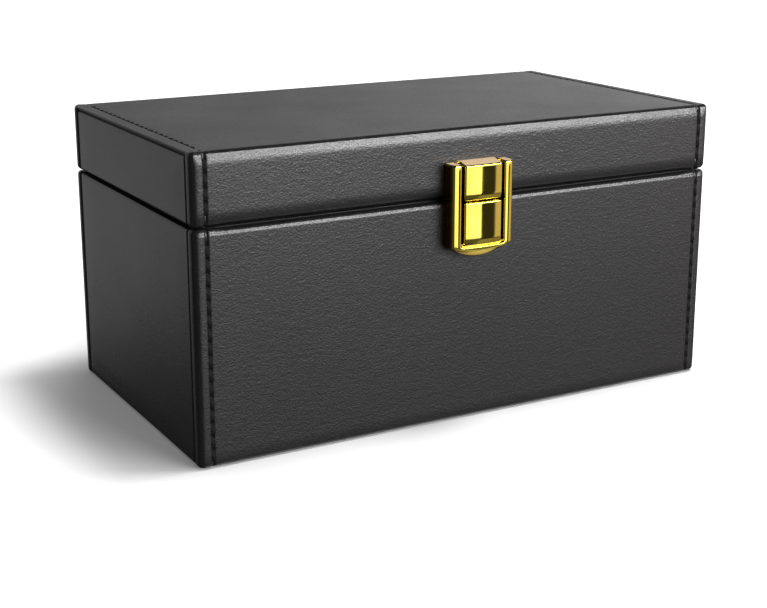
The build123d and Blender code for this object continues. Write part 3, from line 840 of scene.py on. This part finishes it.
def rim_strip(name, node_name, body, z_side):
    """The conductive strip round a rim: a flat rectangular ring with soft edges."""
    lo, hi = (Vector(v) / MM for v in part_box(node_name))
    wide = 4.0
    height = hi.z - lo.z
    profile = []
    r = height * 0.49
    for cx, start, end in ((wide - r, -90, 90), (r, 90, 270)):
        for i in range(7):
            a = math.radians(start + (end - start) * i / 6)
            profile.append((cx + r * math.cos(a), height / 2 + r * math.sin(a)))
    verts, faces = [], []
    corners = [(lo.x, lo.y, 1, 1), (hi.x, lo.y, -1, 1), (hi.x, hi.y, -1, -1), (lo.x, hi.y, 1, -1)]
    loops = []
    for c in range(4):
        ax, ay, asx, asy = corners[c]
        bx, by, bsx, bsy = corners[(c + 1) % 4]
        steps = 24
        for i in range(steps):
            t = i / steps
            loops.append((ax + (bx - ax) * t, ay + (by - ay) * t, asx + (bsx - asx) * t, asy + (bsy - asy) * t, c, i))
    for ax, ay, sx, sy, c, i in loops:
        for d, h in profile:
            ix = sx * d if i == 0 or c in (1, 3) else 0.0
            iy = sy * d if i == 0 or c in (0, 2) else 0.0
            if i > 0 and c in (0, 2):
                ix = (1 - 2 * (ax - lo.x) / (hi.x - lo.x)) * d
            if i > 0 and c in (1, 3):
                iy = (1 - 2 * (ay - lo.y) / (hi.y - lo.y)) * d
            verts.append((ax + ix, ay + iy, lo.z + h))
    n, m = len(profile), len(loops)
    for i in range(m):
        k = (i + 1) % m
        for q in range(n):
            w = (q + 1) % n
            faces.append((i * n + q, i * n + w, k * n + w, k * n + q))
    return make_piece(name, verts, faces, PAINTED_SHADE_STRIP_MAT, body, [node_name])


# ---------------------------------------------------------------- hard pieces
class Shape:
    """Collects closed prisms and tubes in mm into one mesh."""

    def __init__(self):
        self.verts, self.faces = [], []

    def add(self, verts, faces):
        base = len(self.verts)
        self.verts += [tuple(v) for v in verts]
        self.faces += [tuple(base + q for q in f) for f in faces]

    def prism(self, outline, place, low, high):
        """An outline of 2D points, taken between two levels. place(u, v, w) gives the point."""
        n = len(outline)
        verts = [place(u, v, low) for u, v in outline] + [place(u, v, high) for u, v in outline]
        faces = [tuple(range(n))[::-1], tuple(range(n, 2 * n))]
        faces += [(i, (i + 1) % n, n + (i + 1) % n, n + i) for i in range(n)]
        self.add(verts, faces)

    def ring_prism(self, outer, inner, place, low, high):
        """The region between two outlines of equally many points, between two levels."""
        n = len(outer)
        verts = []
        for level in (low, high):
            verts += [place(u, v, level) for u, v in outer]
            verts += [place(u, v, level) for u, v in inner]
        faces = []
        for i in range(n):
            k = (i + 1) % n
            faces.append((i, k, n + k, n + i))
            faces.append((2 * n + i, 3 * n + i, 3 * n + k, 2 * n + k))
            faces.append((i, 2 * n + i, 2 * n + k, k))
            faces.append((n + i, n + k, 3 * n + k, 3 * n + i))
        self.add(verts, faces)

    def box(self, x, y, z):
        self.prism([(x[0], y[0]), (x[1], y[0]), (x[1], y[1]), (x[0], y[1])], lambda u, v, w: (u, v, w), z[0], z[1])

    def revolve(self, profile, origin, axis, u, v, sides=40):
        """A profile of (along, radius) turned round an axis, closed at both ends."""
        origin, axis, u, v = map(Vector, (origin, axis, u, v))
        verts, faces = [], []
        for along, r in profile:
            for k in range(sides):
                t = 2 * math.pi * k / sides
                verts.append(origin + axis * along + (u * math.cos(t) + v * math.sin(t)) * r)
        for i in range(len(profile) - 1):
            for k in range(sides):
                m = (k + 1) % sides
                faces.append((i * sides + k, i * sides + m, (i + 1) * sides + m, (i + 1) * sides + k))
        faces.append(tuple(range(sides))[::-1])
        faces.append(tuple((len(profile) - 1) * sides + k for k in range(sides)))
        self.add(verts, faces)

    def piece(self, name, material, body, replaces=(), sharp=None):
        return make_piece(name, self.verts, self.faces, material, body, replaces, sharp)


def circle(cx, cy, r, start=0.0, end=360.0, count=48, closed=True):
    n = count if closed else count + 1
    return [(cx + r * math.cos(math.radians(start + (end - start) * i / count)),
             cy + r * math.sin(math.radians(start + (end - start) * i / count))) for i in range(n)]


# ---------------------------------------------------------------- latch
LATCH_HALF, CHANNEL_HALF, BLOCK_HALF, CHANNEL_CORNER = 11.75, 8.3, 7.2, 1.2
RAIL_TOP, STRIKE_TOP = 89.8, 90.2
CHANNEL_BOTTOM, BEAD_BOTTOM, ARCH_SPRING, LATCH_BOTTOM = 62.0, 60.05, 61.9, 58.05
BEAD_OUT, BASE_OUT, DECK_OUT, BLOCK_OUT = 5.8, 4.9, 2.0, 6.243
RAIL_WIDTH = LATCH_HALF - CHANNEL_HALF
# the lean of the bead's surface in degrees, at places across it from its outer edge
BEAD_LEAN = [(0.0, 80), (0.15, 62), (0.45, 40), (0.85, 16), (1.4, 7), (2.05, 0), (2.7, -5), (3.0, -20),
             (3.22, -45), (3.38, -70), (3.45, -80)]


def latch_place(x, z, out):
    return (x, -FRONT - out, z)


def arch_height(x, bottom):
    """Height of a lower edge that springs from both sides of the casting and is lowest in the middle."""
    rise = ARCH_SPRING - bottom
    radius = (LATCH_HALF ** 2 + rise ** 2) / (2 * rise)
    return bottom + radius - math.sqrt(radius ** 2 - x * x)


def rail_paths():
    """Matching points on the casting's outline and the channel's, from the left rail's top to the right one's."""
    turn_z = CHANNEL_BOTTOM + CHANNEL_CORNER
    left = [((-LATCH_HALF, RAIL_TOP - drop), (-CHANNEL_HALF, RAIL_TOP - drop), scale)
            for drop, scale in ((0.0, 0.72), (0.06, 0.84), (0.2, 0.93), (0.45, 0.98), (0.9, 1.0))]
    heights = [RAIL_TOP - 0.9 + (turn_z - RAIL_TOP + 0.9) * i / 14 for i in range(1, 15)]
    left += [((-LATCH_HALF, z), (-CHANNEL_HALF, z), 1.0) for z in heights]
    cx = -CHANNEL_HALF + CHANNEL_CORNER
    for i in range(1, 11):
        a = math.radians(180 + 9 * i)
        inner = (cx + CHANNEL_CORNER * math.cos(a), turn_z + CHANNEL_CORNER * math.sin(a))
        if i <= 4:
            outer = (-LATCH_HALF, turn_z + (ARCH_SPRING - turn_z) * i / 4)
        else:
            x = -LATCH_HALF + (cx + LATCH_HALF) * (i - 4) / 6
            outer = (x, arch_height(x, BEAD_BOTTOM))
        left.append((outer, inner, 1.0))
    xs = [cx * (1 - i / 10) for i in range(1, 11)]
    left += [((x, arch_height(x, BEAD_BOTTOM)), (x, CHANNEL_BOTTOM), 1.0) for x in xs]
    right = [((-o[0], o[1]), (-i[0], i[1]), k) for o, i, k in reversed(left[:-1])]
    return left + right


def bead_section():
    """The bead in section, as (share of its width, depth), worked out from how its surface leans."""
    def lean(w):
        for (a, p), (b, q) in zip(BEAD_LEAN, BEAD_LEAN[1:]):
            if w <= b:
                return p + (q - p) * (w - a) / (b - a)
        return BEAD_LEAN[-1][1]

    steps = 46
    depth, out = 0.0, []
    for i in range(steps + 1):
        w = RAIL_WIDTH * i / steps
        out.append([w / RAIL_WIDTH, depth])
        depth += math.tan(math.radians(lean(w + RAIL_WIDTH / steps / 2))) * RAIL_WIDTH / steps
    highest = max(d for _, d in out)
    crown = [(w, BEAD_OUT + d - highest) for w, d in out]
    return [(0.0, 0.45), (0.0, 2.4)] + crown + [(1.0, 1.9), (1.0, 0.45)]


def latch_rails():
    """The U-shaped rail, swept down, across and up, with rounded upper ends."""
    section, paths = bead_section(), rail_paths()
    verts, faces = [], []
    n, m = len(paths), len(section)
    for outer, inner, scale in paths:
        for share, depth in section:
            w = 0.5 + (share - 0.5) * scale
            verts.append(latch_place(outer[0] + (inner[0] - outer[0]) * w, outer[1] + (inner[1] - outer[1]) * w,
                                     0.45 + (depth - 0.45) * (0.5 + 0.5 * scale)))
    for i in range(n - 1):
        for q in range(m):
            k = (q + 1) % m
            faces.append((i * m + q, i * m + k, (i + 1) * m + k, (i + 1) * m + q))
    faces.append(tuple(range(m)))
    faces.append(tuple((n - 1) * m + q for q in range(m))[::-1])
    return verts, faces


def foot_outline(inset):
    """The arched foot below the bar, its ends tucked in under the rails."""
    half = LATCH_HALF - inset
    low = [(half * (i / 18 - 1), 0) for i in range(37)]
    points = [(x, arch_height(x, LATCH_BOTTOM) + inset) for x, _ in low]
    return points + [(half - 0.4, 63.0), (-half + 0.4, 63.0)]


def latch_housing():
    s = Shape()
    s.add(*latch_rails())
    foot = [(0.0, -0.3), (0.0, 3.1), (0.06, 3.4), (0.2, 3.62), (0.45, 3.84), (1.0, 4.2), (1.6, 4.56), (2.1, 4.84), (2.3, 4.9)]
    rings = [foot_outline(inset) for inset, _ in foot]
    n = len(rings[0])
    verts, faces = [], []
    for ring, (_, out) in zip(rings, foot):
        verts += [latch_place(x, z, out) for x, z in ring]
    for j in range(len(rings) - 1):
        for i in range(n):
            k = (i + 1) % n
            faces.append((j * n + i, j * n + k, (j + 1) * n + k, (j + 1) * n + i))
    faces.append(tuple(range(n))[::-1])
    faces.append(tuple((len(rings) - 1) * n + i for i in range(n)))
    s.add(verts, faces)
    hole = BLOCK_HALF + 0.3
    for hand in (-1, 1):
        inner, outer = sorted((hand * hole, hand * (CHANNEL_HALF + 0.3)))
        s.prism([(inner, 61.8), (outer, 61.8), (outer, SPLIT), (inner, SPLIT)], latch_place, 0.9, DECK_OUT)
        inner, outer = sorted((hand * (CHANNEL_HALF + 0.1), hand * (LATCH_HALF - 0.1)))
        s.prism([(inner, 62.4), (outer, 62.4), (outer, SPLIT - 0.3), (inner, SPLIT - 0.3)], latch_place, -0.3, 0.8)
    half, low, high, floor, wall = 9.1, 60.9, 75.2, -2.4, 0.8
    s.prism([(-half, low), (half, low), (half, high), (-half, high)], latch_place, floor - wall, floor)
    s.prism([(-half, low), (half, low), (half, low + wall), (-half, low + wall)], latch_place, floor, 0.9)
    s.prism([(-half, high - wall), (half, high - wall), (half, high), (-half, high)], latch_place, floor, 0.0)
    s.prism([(-half, low), (-half + wall, low), (-half + wall, high), (-half, high)], latch_place, floor, 0.9)
    s.prism([(half - wall, low), (half, low), (half, high), (half - wall, high)], latch_place, floor, 0.9)
    return s.piece("latch_casting", GOLD_MAT, "box_body", ["latch_housing"], sharp=38)


def crowned_block(s, half, low, high, back, out, crown, slope=0.0, r=0.6):
    """A block with a crowned front, rolled front edges and, on the strike, a top that slopes to the front."""
    def edge_places(a, b):
        inner = [a + r + (b - a - 2 * r) * i / 26 for i in range(27)]
        roll = [r * (1 - math.cos(math.radians(q))) for q in (0, 12, 24, 36, 48, 60, 75)]
        return [a + e for e in roll] + inner + [b - e for e in reversed(roll)]

    xs, zs = edge_places(-half, half), edge_places(low, high)
    verts, faces = [], []
    for z in zs:
        for x in xs:
            dx, dz = max(0.0, r - min(x + half, half - x)), max(0.0, r - min(z - low, high - z))
            reach = math.hypot(dx, dz)
            scale = 1.0 if reach <= r else r / reach
            depth = r - math.sqrt(max(0.0, r * r - min(r, reach) ** 2))
            px = x if dx == 0 else math.copysign(half - r + dx * scale, x)
            pz = z if dz == 0 else (low + r - dz * scale if z < (low + high) / 2 else high - r + dz * scale)
            droop = 0.30 * max(0.0, 1 - (pz - low) / 2.6) ** 2
            verts.append(latch_place(px, pz, out - crown * (px / half) ** 2 - depth - droop))
    n, m = len(xs), len(zs)
    for j in range(m - 1):
        for i in range(n - 1):
            faces.append((j * n + i, j * n + i + 1, (j + 1) * n + i + 1, (j + 1) * n + i))
    rim = [i for i in range(n)] + [(j + 1) * n - 1 for j in range(1, m)] \
        + [(m - 1) * n + i for i in range(n - 2, -1, -1)] + [j * n for j in range(m - 2, 0, -1)]
    base = len(verts)
    for q in rim:
        x, y, z = verts[q]
        verts.append((x, -FRONT - back, z + slope if z > high - 0.05 else z))
    for i in range(len(rim)):
        k = (i + 1) % len(rim)
        faces.append((rim[i], rim[k], base + k, base + i))
    faces.append(tuple(base + i for i in range(len(rim))))
    s.add(verts, faces)


def latch_strike():
    s = Shape()
    slope = 0.75
    crowned_block(s, BLOCK_HALF, 77.4, STRIKE_TOP - slope, 1.6, BLOCK_OUT, 0.4, slope)
    s.box((-BLOCK_HALF + 0.05, BLOCK_HALF - 0.05), (-FRONT - 1.7, -FRONT), (79.0, STRIKE_TOP - 0.05))
    half = CHANNEL_HALF - 0.35
    s.box((-half, half), (-FRONT - 1.0, -FRONT), (79.0, RAIL_TOP))
    profile = [(78.5, 2.7), (78.5, 1.6), (70.8, 1.6), (70.8, 0.4), (70.4, 0.4), (69.4, 1.9), (69.4, 2.7)]
    s.prism(profile, lambda z, out, x: (x, -FRONT - out, z), -2.5, 2.5)
    return s.piece("latch_strike_block", GOLD_MAT, "lid", ["latch_strike"], sharp=38)


def latch_button():
    s = Shape()
    crowned_block(s, BLOCK_HALF, 62.3, 77.0, 4.65, BLOCK_OUT, 0.4)
    half, wall, skirt = BLOCK_HALF, 1.2, -0.4
    for hand in (-1, 1):
        inner, outer = sorted((hand * (half - wall), hand * half))
        s.prism([(inner, 62.3), (outer, 62.3), (outer, 74.1), (inner, 74.1)], latch_place, skirt, 4.8)
        inner, outer = sorted((hand * 2.8, hand * half))
        s.prism([(inner, 75.8), (outer, 75.8), (outer, 77.0), (inner, 77.0)], latch_place, 1.8, 4.8)
        inner, outer = sorted((hand * (half - wall), hand * half))
        s.prism([(inner, 74.1), (outer, 74.1), (outer, 77.0), (inner, 77.0)], latch_place, 1.8, 4.8)
    s.prism([(-half, 62.3), (half, 62.3), (half, 63.5), (-half, 63.5)], latch_place, skirt, 4.8)
    s.prism([(-half - 0.8, 62.0), (half + 0.8, 62.0), (half + 0.8, 63.3), (-half - 0.8, 63.3)], latch_place, skirt, 0.6)
    s.prism([(-half + wall, 71.1), (half - wall, 71.1), (half - wall, 72.5), (-half + wall, 72.5)],
            latch_place, skirt, 1.3)
    return s.piece("latch_push_button", GOLD_MAT, "latch_button", ["latch_button"], sharp=38)


def spring():
    lo, hi = (Vector(v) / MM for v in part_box("latch_spring"))
    centre = (lo + hi) / 2
    r, wire = 1.75, 0.25
    turns, steps = 5, 150
    points = []
    y0, y1 = hi.y - wire, lo.y + wire
    for i in range(steps + 1):
        t = i / steps
        flat = 0.10
        rise = max(0.0, min(1.0, (t - flat) / (1 - 2 * flat)))
        a = 2 * math.pi * turns * t
        points.append((centre.x + r * math.cos(a), y0 + (y1 - y0) * rise, centre.z + r * math.sin(a)))
    v, f = tube(points, wire, 10)
    obj = make_piece("latch_coil_spring", v, f, STEEL_MAT, "box_body", ["latch_spring"])
    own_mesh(obj)
    return obj


# ---------------------------------------------------------------- hinges and screws
def hinge_place(x0):
    return lambda y, z, x: (x0 + x, PIN_Y + y, SPLIT + z)


def leaf(name, hand, side, body, replaced):
    """A leaf: its plate, webs and knuckles, and on the lower leaf the heels that stop the lid."""
    s = Shape()
    x0 = hand * HINGE_X
    notch, reach, thick, r, gap, mid = 2.3, 12.0, 0.9, 2.0, 0.3, 8.0
    half = 12.0
    corner = circle(half - 2.0, reach - 2.0, 2.0, 0, 90, 8, False)
    outline = [(-half, notch), (half, notch)] + corner + [(-x, y) for x, y in reversed(corner)]
    s.prism([(x, side * z) for x, z in outline], lambda x, z, y: (x0 + x, FRONT + y, SPLIT + z), 0.0, thick)
    place = hinge_place(x0)
    runs = [(-half, -mid / 2 - gap), (mid / 2 + gap, half)] if side < 0 else [(-mid / 2, mid / 2)]
    bore = 0.83 if side < 0 else 0.85
    for low, high in runs:
        s.ring_prism(circle(0, 0, r, count=48), circle(0, 0, bore, count=48), place, low, high)
        web = [(-notch, side * 0.9), (-notch + thick, side * 1.3), (-notch + thick, side * 2.6), (-notch, side * 2.6)]
        s.prism(web, place, low, high)
        if side < 0:
            turn = math.radians(105.0)
            face = notch - thick
            along = Vector((math.sin(turn), math.cos(turn)))
            across = Vector((-math.cos(turn), math.sin(turn)))
            p = [across * face + along * 1.2, across * face + along * 3.8,
                 across * (face - 1.4) + along * 3.8, across * (face - 1.4) + along * 1.6]
            s.prism([(q.x, q.y) for q in p], place, low, high)
    obj = s.piece(name, GOLD_MAT, body, [replaced])
    return bevelled(obj, 0.14, 2, 40)


def pin(name, hand, replaced):
    s = Shape()
    half, r = 12.0, 0.8
    ends = [(-half, r - 0.2), (-half + 0.05, r - 0.1), (-half + 0.2, r), (half - 0.2, r), (half - 0.05, r - 0.1), (half, r - 0.2)]
    s.revolve(ends, (hand * HINGE_X, PIN_Y, SPLIT), (1, 0, 0), (0, 1, 0), (0, 0, 1), 32)
    return s.piece(name, STEEL_MAT, "box_body", [replaced])


def screw_mesh(s, x, y, z, head_r, head, shank, direction=1):
    """A pan-head screw whose head stands on y and whose shank points to -Y, with a thread and a cross recess."""
    dome = [(-0.02, head_r * 0.98), (head * 0.35, head_r), (head * 0.7, head_r * 0.86), (head * 0.93, head_r * 0.55),
            (head, 0.62)]
    recess = []
    s.revolve([(-0.0, head_r * 0.3)] + dome, (x, y, z), (0, direction, 0), (1, 0, 0), (0, 0, 1), 32)
    for a in (0, math.pi / 2):
        w, l = 0.17, 0.72
        c, d = math.cos(a + 0.5), math.sin(a + 0.5)
        p = [(-l, -w), (l, -w), (l, w), (-l, w)]
        s.prism([(u * c - v * d, u * d + v * c) for u, v in p],
                lambda u, v, q: (x + u, y + direction * q, z + v), head - 0.02, head + 0.008)
    core, crest, turns = 0.55, 0.78, shank / 0.55
    sides, rings = 14, int(turns * 8)
    profile_verts, faces = [], []
    for i in range(rings + 1):
        t = i / rings
        for k in range(sides):
            phase = (i / 8.0 - k / sides) % 1.0
            r = core + (crest - core) * max(0.0, 1 - abs(phase - 0.5) * 4)
            r *= min(1.0, (1 - t) * shank / 1.0 + 0.05)
            ang = 2 * math.pi * k / sides
            profile_verts.append((x + r * math.cos(ang), y - direction * shank * t, z + r * math.sin(ang)))
    for i in range(rings):
        for k in range(sides):
            m = (k + 1) % sides
            faces.append((i * sides + k, i * sides + m, (i + 1) * sides + m, (i + 1) * sides + k))
    faces.append(tuple(range(sides))[::-1])
    faces.append(tuple(rings * sides + k for k in range(sides)))
    s.add(profile_verts, faces)


def screws(name, places, shank, body, material, replaced):
    s = Shape()
    for x, y, z in places:
        screw_mesh(s, x, y, z, 1.5, 0.6, shank)
    return s.piece(name, material, body, [replaced])


# ---------------------------------------------------------------- make the pieces
body_wrap("leather_front", -1, ["front_cover"])
body_wrap("leather_back", 1, ["back_cover"])
lid_wrap()
for side_name, hand in (("left", -1), ("right", 1)):
    end_panel(f"leather_{side_name}_panel", hand, TABLE_GAP, BODY_TOP, True, "box_body", [f"{side_name}_cover"])
    end_panel(f"leather_lid_{side_name}_panel", hand, LID_BOTTOM, PANEL_TOP, False, "lid", [f"lid_{side_name}_cover"])
    for wall_name, y_side in (("front", -1), ("back", 1)):
        stitch_line(f"stitches_{wall_name}_{side_name}", seam_places(hand, y_side, TABLE_GAP, BODY_TOP - 0.6), "box_body")
        stitch_line(f"stitches_lid_{wall_name}_{side_name}", seam_places(hand, y_side, LID_BOTTOM, WINDOW_TOP), "lid")
    stitch_line(f"stitches_top_{side_name}", top_seam_places(hand), "lid")

for k, (name, body) in enumerate([
        ("floor_lining", "box_body"), ("front_lining", "box_body"), ("back_lining", "box_body"),
        ("left_lining", "box_body"), ("right_lining", "box_body"), ("lid_top_lining", "lid"),
        ("lid_front_lining", "lid"), ("lid_back_lining", "lid"), ("lid_left_lining", "lid"),
        ("lid_right_lining", "lid")]):
    soft_slab(f"fabric_{name}", name, FABRIC_MAT, body, 0.08, 4.0, k * 1.7)
soft_slab("felt_base", "base_felt", FELT_MAT, "box_body", 0.06, 4.0, 0.3)
rim_strip("fabric_body_rim_strip", "body_rim_seal", "box_body", 1)
rim_strip("fabric_lid_rim_strip", "lid_rim_seal", "lid", -1)

latch_housing()
latch_strike()
latch_button()
spring()
for side_name, hand in (("left", -1), ("right", 1)):
    leaf(f"hinge_leaf_lower_{side_name}", hand, -1, "box_body", f"hinge_lower_{side_name}")
    leaf(f"hinge_leaf_upper_{side_name}", hand, 1, "lid", f"hinge_upper_{side_name}")
    pin(f"hinge_rod_{side_name}", hand, f"hinge_pin_{side_name}")
leaf_x = [hand * HINGE_X + end * 7.0 for hand in (-1, 1) for end in (-1, 1)]
screws("screws_hinge_lower", [(x, FRONT + 0.9, SPLIT - 7.4) for x in leaf_x], 5.4, "box_body", GOLD_MAT,
       "hinge_lower_screws")
screws("screws_hinge_upper", [(x, FRONT + 0.9, SPLIT + 7.4) for x in leaf_x], 5.4, "lid", GOLD_MAT,
       "hinge_upper_screws")
screw_x = LATCH_HALF - 1.45
screws("screws_latch", [(x, -INNER_FRONT - 0.6, SPLIT - 9.2) for x in (-screw_x, screw_x)], 8.4,
       "box_body", STEEL_MAT, "latch_screws")
screws("screws_strike", [(x, -INNER_FRONT - 0.6, SPLIT + 6.8) for x in (-4.0, 4.0)], 8.4,
       "lid", STEEL_MAT, "strike_screws")

for name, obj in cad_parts.items():
    if not obj.hide_render:
        obj.data.materials.clear()
        obj.data.materials.append(BOARD_MAT)

# ---------------------------------------------------------------- floor, light and camera
floor_mesh = bpy.data.meshes.new("floor")
reach = 6.0
floor_mesh.from_pydata([(-reach, -reach, 0), (reach, -reach, 0), (reach, reach, 0), (-reach, reach, 0)], [], [(0, 1, 2, 3)])
floor = bpy.data.objects.new("floor", floor_mesh)
scene.collection.objects.link(floor)
floor_mat = bpy.data.materials.new("floor")
floor_mat.use_nodes = True
fn, fl = floor_mat.node_tree.nodes, floor_mat.node_tree.links
fn.clear()
out = fn.new("ShaderNodeOutputMaterial")
rays = fn.new("ShaderNodeLightPath")
plain = node(fn, "ShaderNodeBsdfDiffuse", Color=(0.80, 0.80, 0.80, 1))
floor_place = fn.new("ShaderNodeTexCoord").outputs["Object"]
away = fn.new("ShaderNodeVectorMath")
away.operation = "LENGTH"
fl.new(floor_place, away.inputs[0])
# Camera-only glow on the floor, growing outward from the case: far out it makes the backdrop white, and the near and
# fringe terms are painted light that lifts the outer part of the case's shadow.
rise = remap(fn, fl, away.outputs["Value"], 0.0, 0.32, 0.2, 1.0)
near = remap(fn, fl, away.outputs["Value"], 0.06, 0.30, 0.115, 0.2)
near.interpolation_type = "SMOOTHSTEP"
painted_light_fringe = remap(fn, fl, away.outputs["Value"], 0.0, 0.25, 0.108, 0.150)
painted_light_fringe.interpolation_type = "SMOOTHSTEP"
glow = node(fn, "ShaderNodeEmission", Color=(1, 1, 1, 1))
level = math_node(fn, fl, "ADD", rise.outputs["Result"], near.outputs["Result"])
fl.new(math_node(fn, fl, "ADD", level, painted_light_fringe.outputs["Result"]), glow.inputs["Strength"])
both = fn.new("ShaderNodeAddShader")
dim = node(fn, "ShaderNodeBsdfDiffuse", Color=(0.30, 0.30, 0.30, 1))
pick = fn.new("ShaderNodeMixShader")
fl.new(plain.outputs[0], both.inputs[0])
fl.new(glow.outputs[0], both.inputs[1])
fl.new(rays.outputs["Is Camera Ray"], pick.inputs["Fac"])
fl.new(dim.outputs[0], pick.inputs[1])
fl.new(both.outputs[0], pick.inputs[2])
fl.new(pick.outputs[0], out.inputs["Surface"])
floor.data.materials.append(floor_mat)
floor.visible_glossy = False

world = bpy.data.worlds.new("studio")
scene.world = world
world.use_nodes = True
wn, wl = world.node_tree.nodes, world.node_tree.links
wn.clear()
w_out = wn.new("ShaderNodeOutputWorld")
direction = wn.new("ShaderNodeTexCoord").outputs["Generated"]
parts = wn.new("ShaderNodeSeparateXYZ")
wl.new(direction, parts.inputs["Vector"])
dx, dy, dz = parts.outputs


def w_math(operation, a, b=None):
    return math_node(wn, wl, operation, a, b)


def w_step(value, low, high):
    """0 below low, 1 above high, smooth between."""
    m = wn.new("ShaderNodeMapRange")
    m.interpolation_type = "SMOOTHSTEP"
    m.inputs["From Min"].default_value = low
    m.inputs["From Max"].default_value = high
    wl.new(value, m.inputs["Value"])
    return m.outputs["Result"]


def w_band(value, low, low_soft, high, high_soft):
    return w_math("MULTIPLY", w_step(value, low - low_soft, low + low_soft),
                  w_math("SUBTRACT", 1.0, w_step(value, high - high_soft, high + high_soft)))


azimuth = w_math("MULTIPLY", w_math("ARCTAN2", dx, w_math("MULTIPLY", dy, -1.0)), 180 / math.pi)
height = w_math("MULTIPLY", w_math("ARCSINE", dz), 180 / math.pi)

# What shiny surfaces see, card by card: azimuth from, softness, to, softness; height the same; strength
CARDS = [
    (-15, 6, 31.3, 0.3, -15.5, 1.5, 12, 4, 1.25),
    (20, 8, 31.3, 0.3, -15.5, 1.5, 12, 4, 1.6),
    (-15, 6, 31.3, 0.3, -30, 3.0, -15, 2.0, 0.06),
    (31, 1, 62, 5, -7, 1.5, 12, 4, 1.1),
    (41.5, 0.8, 80, 8, -17.5, 2.5, 12, 5, 0.55),
    (31, 1.5, 80, 8, -34, 2, -19.5, 1.0, 0.2),
    (-15, 8, 75, 8, -90, 2, -36, 3, 0.1),
    (-80, 5, -45, 5, -30, 5, 12, 5, 0.05),
    (52, 6, 140, 6, -80, 3, -46, 4, 0.8),
    (100, 10, 152, 6, -8, 5, 32, 5, 1.75),
    (152, 6, 179, 1, -8, 5, 32, 5, 0.80),
    (-178, 1, -120, 12, -17.3, 0.8, 40, 8, 0.30),
]
total = None
for az0, az0_soft, az1, az1_soft, h0, h0_soft, h1, h1_soft, strength in CARDS:
    card = w_math("MULTIPLY", w_band(azimuth, az0, az0_soft, az1, az1_soft), w_band(height, h0, h0_soft, h1, h1_soft))
    card = w_math("MULTIPLY", card, strength)
    total = card if total is None else w_math("MAXIMUM", total, card)
total = w_math("ADD", total, 0.03)

warm = wn.new("ShaderNodeMix")
warm.data_type = "RGBA"
warm.inputs["A"].default_value = (1.0, 1.0, 1.0, 1)
warm.inputs["B"].default_value = (1.0, 0.84, 0.92, 1)
wl.new(w_math("MULTIPLY", w_band(azimuth, 41, 1, 90, 6), w_step(height, -42, -34)), warm.inputs["Factor"])
mirror_sky = wn.new("ShaderNodeBackground")
wl.new(warm.outputs["Result"], mirror_sky.inputs["Color"])
wl.new(total, mirror_sky.inputs["Strength"])
soft_sky = wn.new("ShaderNodeBackground")
wl.new(w_math("ADD", 0.28, w_math("MULTIPLY", w_step(dz, -0.1, 0.9), 0.12)), soft_sky.inputs["Strength"])
white = node(wn, "ShaderNodeBackground", Color=(1, 1, 1, 1), Strength=1.0)
rays = wn.new("ShaderNodeLightPath")
first_mix, second_mix = wn.new("ShaderNodeMixShader"), wn.new("ShaderNodeMixShader")
wl.new(rays.outputs["Is Glossy Ray"], first_mix.inputs["Fac"])
wl.new(soft_sky.outputs[0], first_mix.inputs[1])
wl.new(mirror_sky.outputs[0], first_mix.inputs[2])
wl.new(rays.outputs["Is Camera Ray"], second_mix.inputs["Fac"])
wl.new(first_mix.outputs[0], second_mix.inputs[1])
wl.new(white.outputs[0], second_mix.inputs[2])
wl.new(second_mix.outputs[0], w_out.inputs["Surface"])


def area_light(name, azimuth_deg, elevation_deg, distance, size, radiance, target=(0, 0, 0.06), size_y=None):
    """A soft box seen from the case in a direction; radiance is how bright it looks."""
    a, e = math.radians(azimuth_deg), math.radians(elevation_deg)
    back = Vector((math.sin(a) * math.cos(e), -math.cos(a) * math.cos(e), math.sin(e)))
    data = bpy.data.lights.new(name, "AREA")
    data.shape = "RECTANGLE"
    data.size = size
    data.size_y = size_y or size
    data.energy = radiance * math.pi * data.size * data.size_y
    obj = bpy.data.objects.new(name, data)
    obj.location = Vector(target) + back * distance
    obj.rotation_mode = "QUATERNION"
    obj.rotation_quaternion = back.to_track_quat("Z", "Y")
    obj.visible_camera = False
    scene.collection.objects.link(obj)
    return obj


area_light("front_band", 27, 15.5, 1.0, 0.8, 19.0, (0, -FRONT * MM, 0.08), size_y=0.19)
key = area_light("key", 68, 75, 1.1, 0.3, 38.0)
key.visible_glossy = False

cam_data = bpy.data.cameras.new("camera")
cam_data.sensor_width = 36.0
cam_data.lens = 68.76
cam_data.shift_y = -38 / 767
cam_data.clip_start, cam_data.clip_end = 0.01, 50.0
camera = bpy.data.objects.new("camera", cam_data)
azimuth_deg, elevation_deg = -29.226, 14.803
a, e = math.radians(azimuth_deg), math.radians(elevation_deg)
view_back = Vector((math.sin(a) * math.cos(e), -math.cos(a) * math.cos(e), math.sin(e)))
camera.location = (-0.25825, -0.45602, 0.17922)
camera.rotation_mode = "QUATERNION"
camera.rotation_quaternion = (-view_back).to_track_quat("-Z", "Y")
scene.collection.objects.link(camera)
scene.camera = camera
scene.view_settings.view_transform = "Standard"
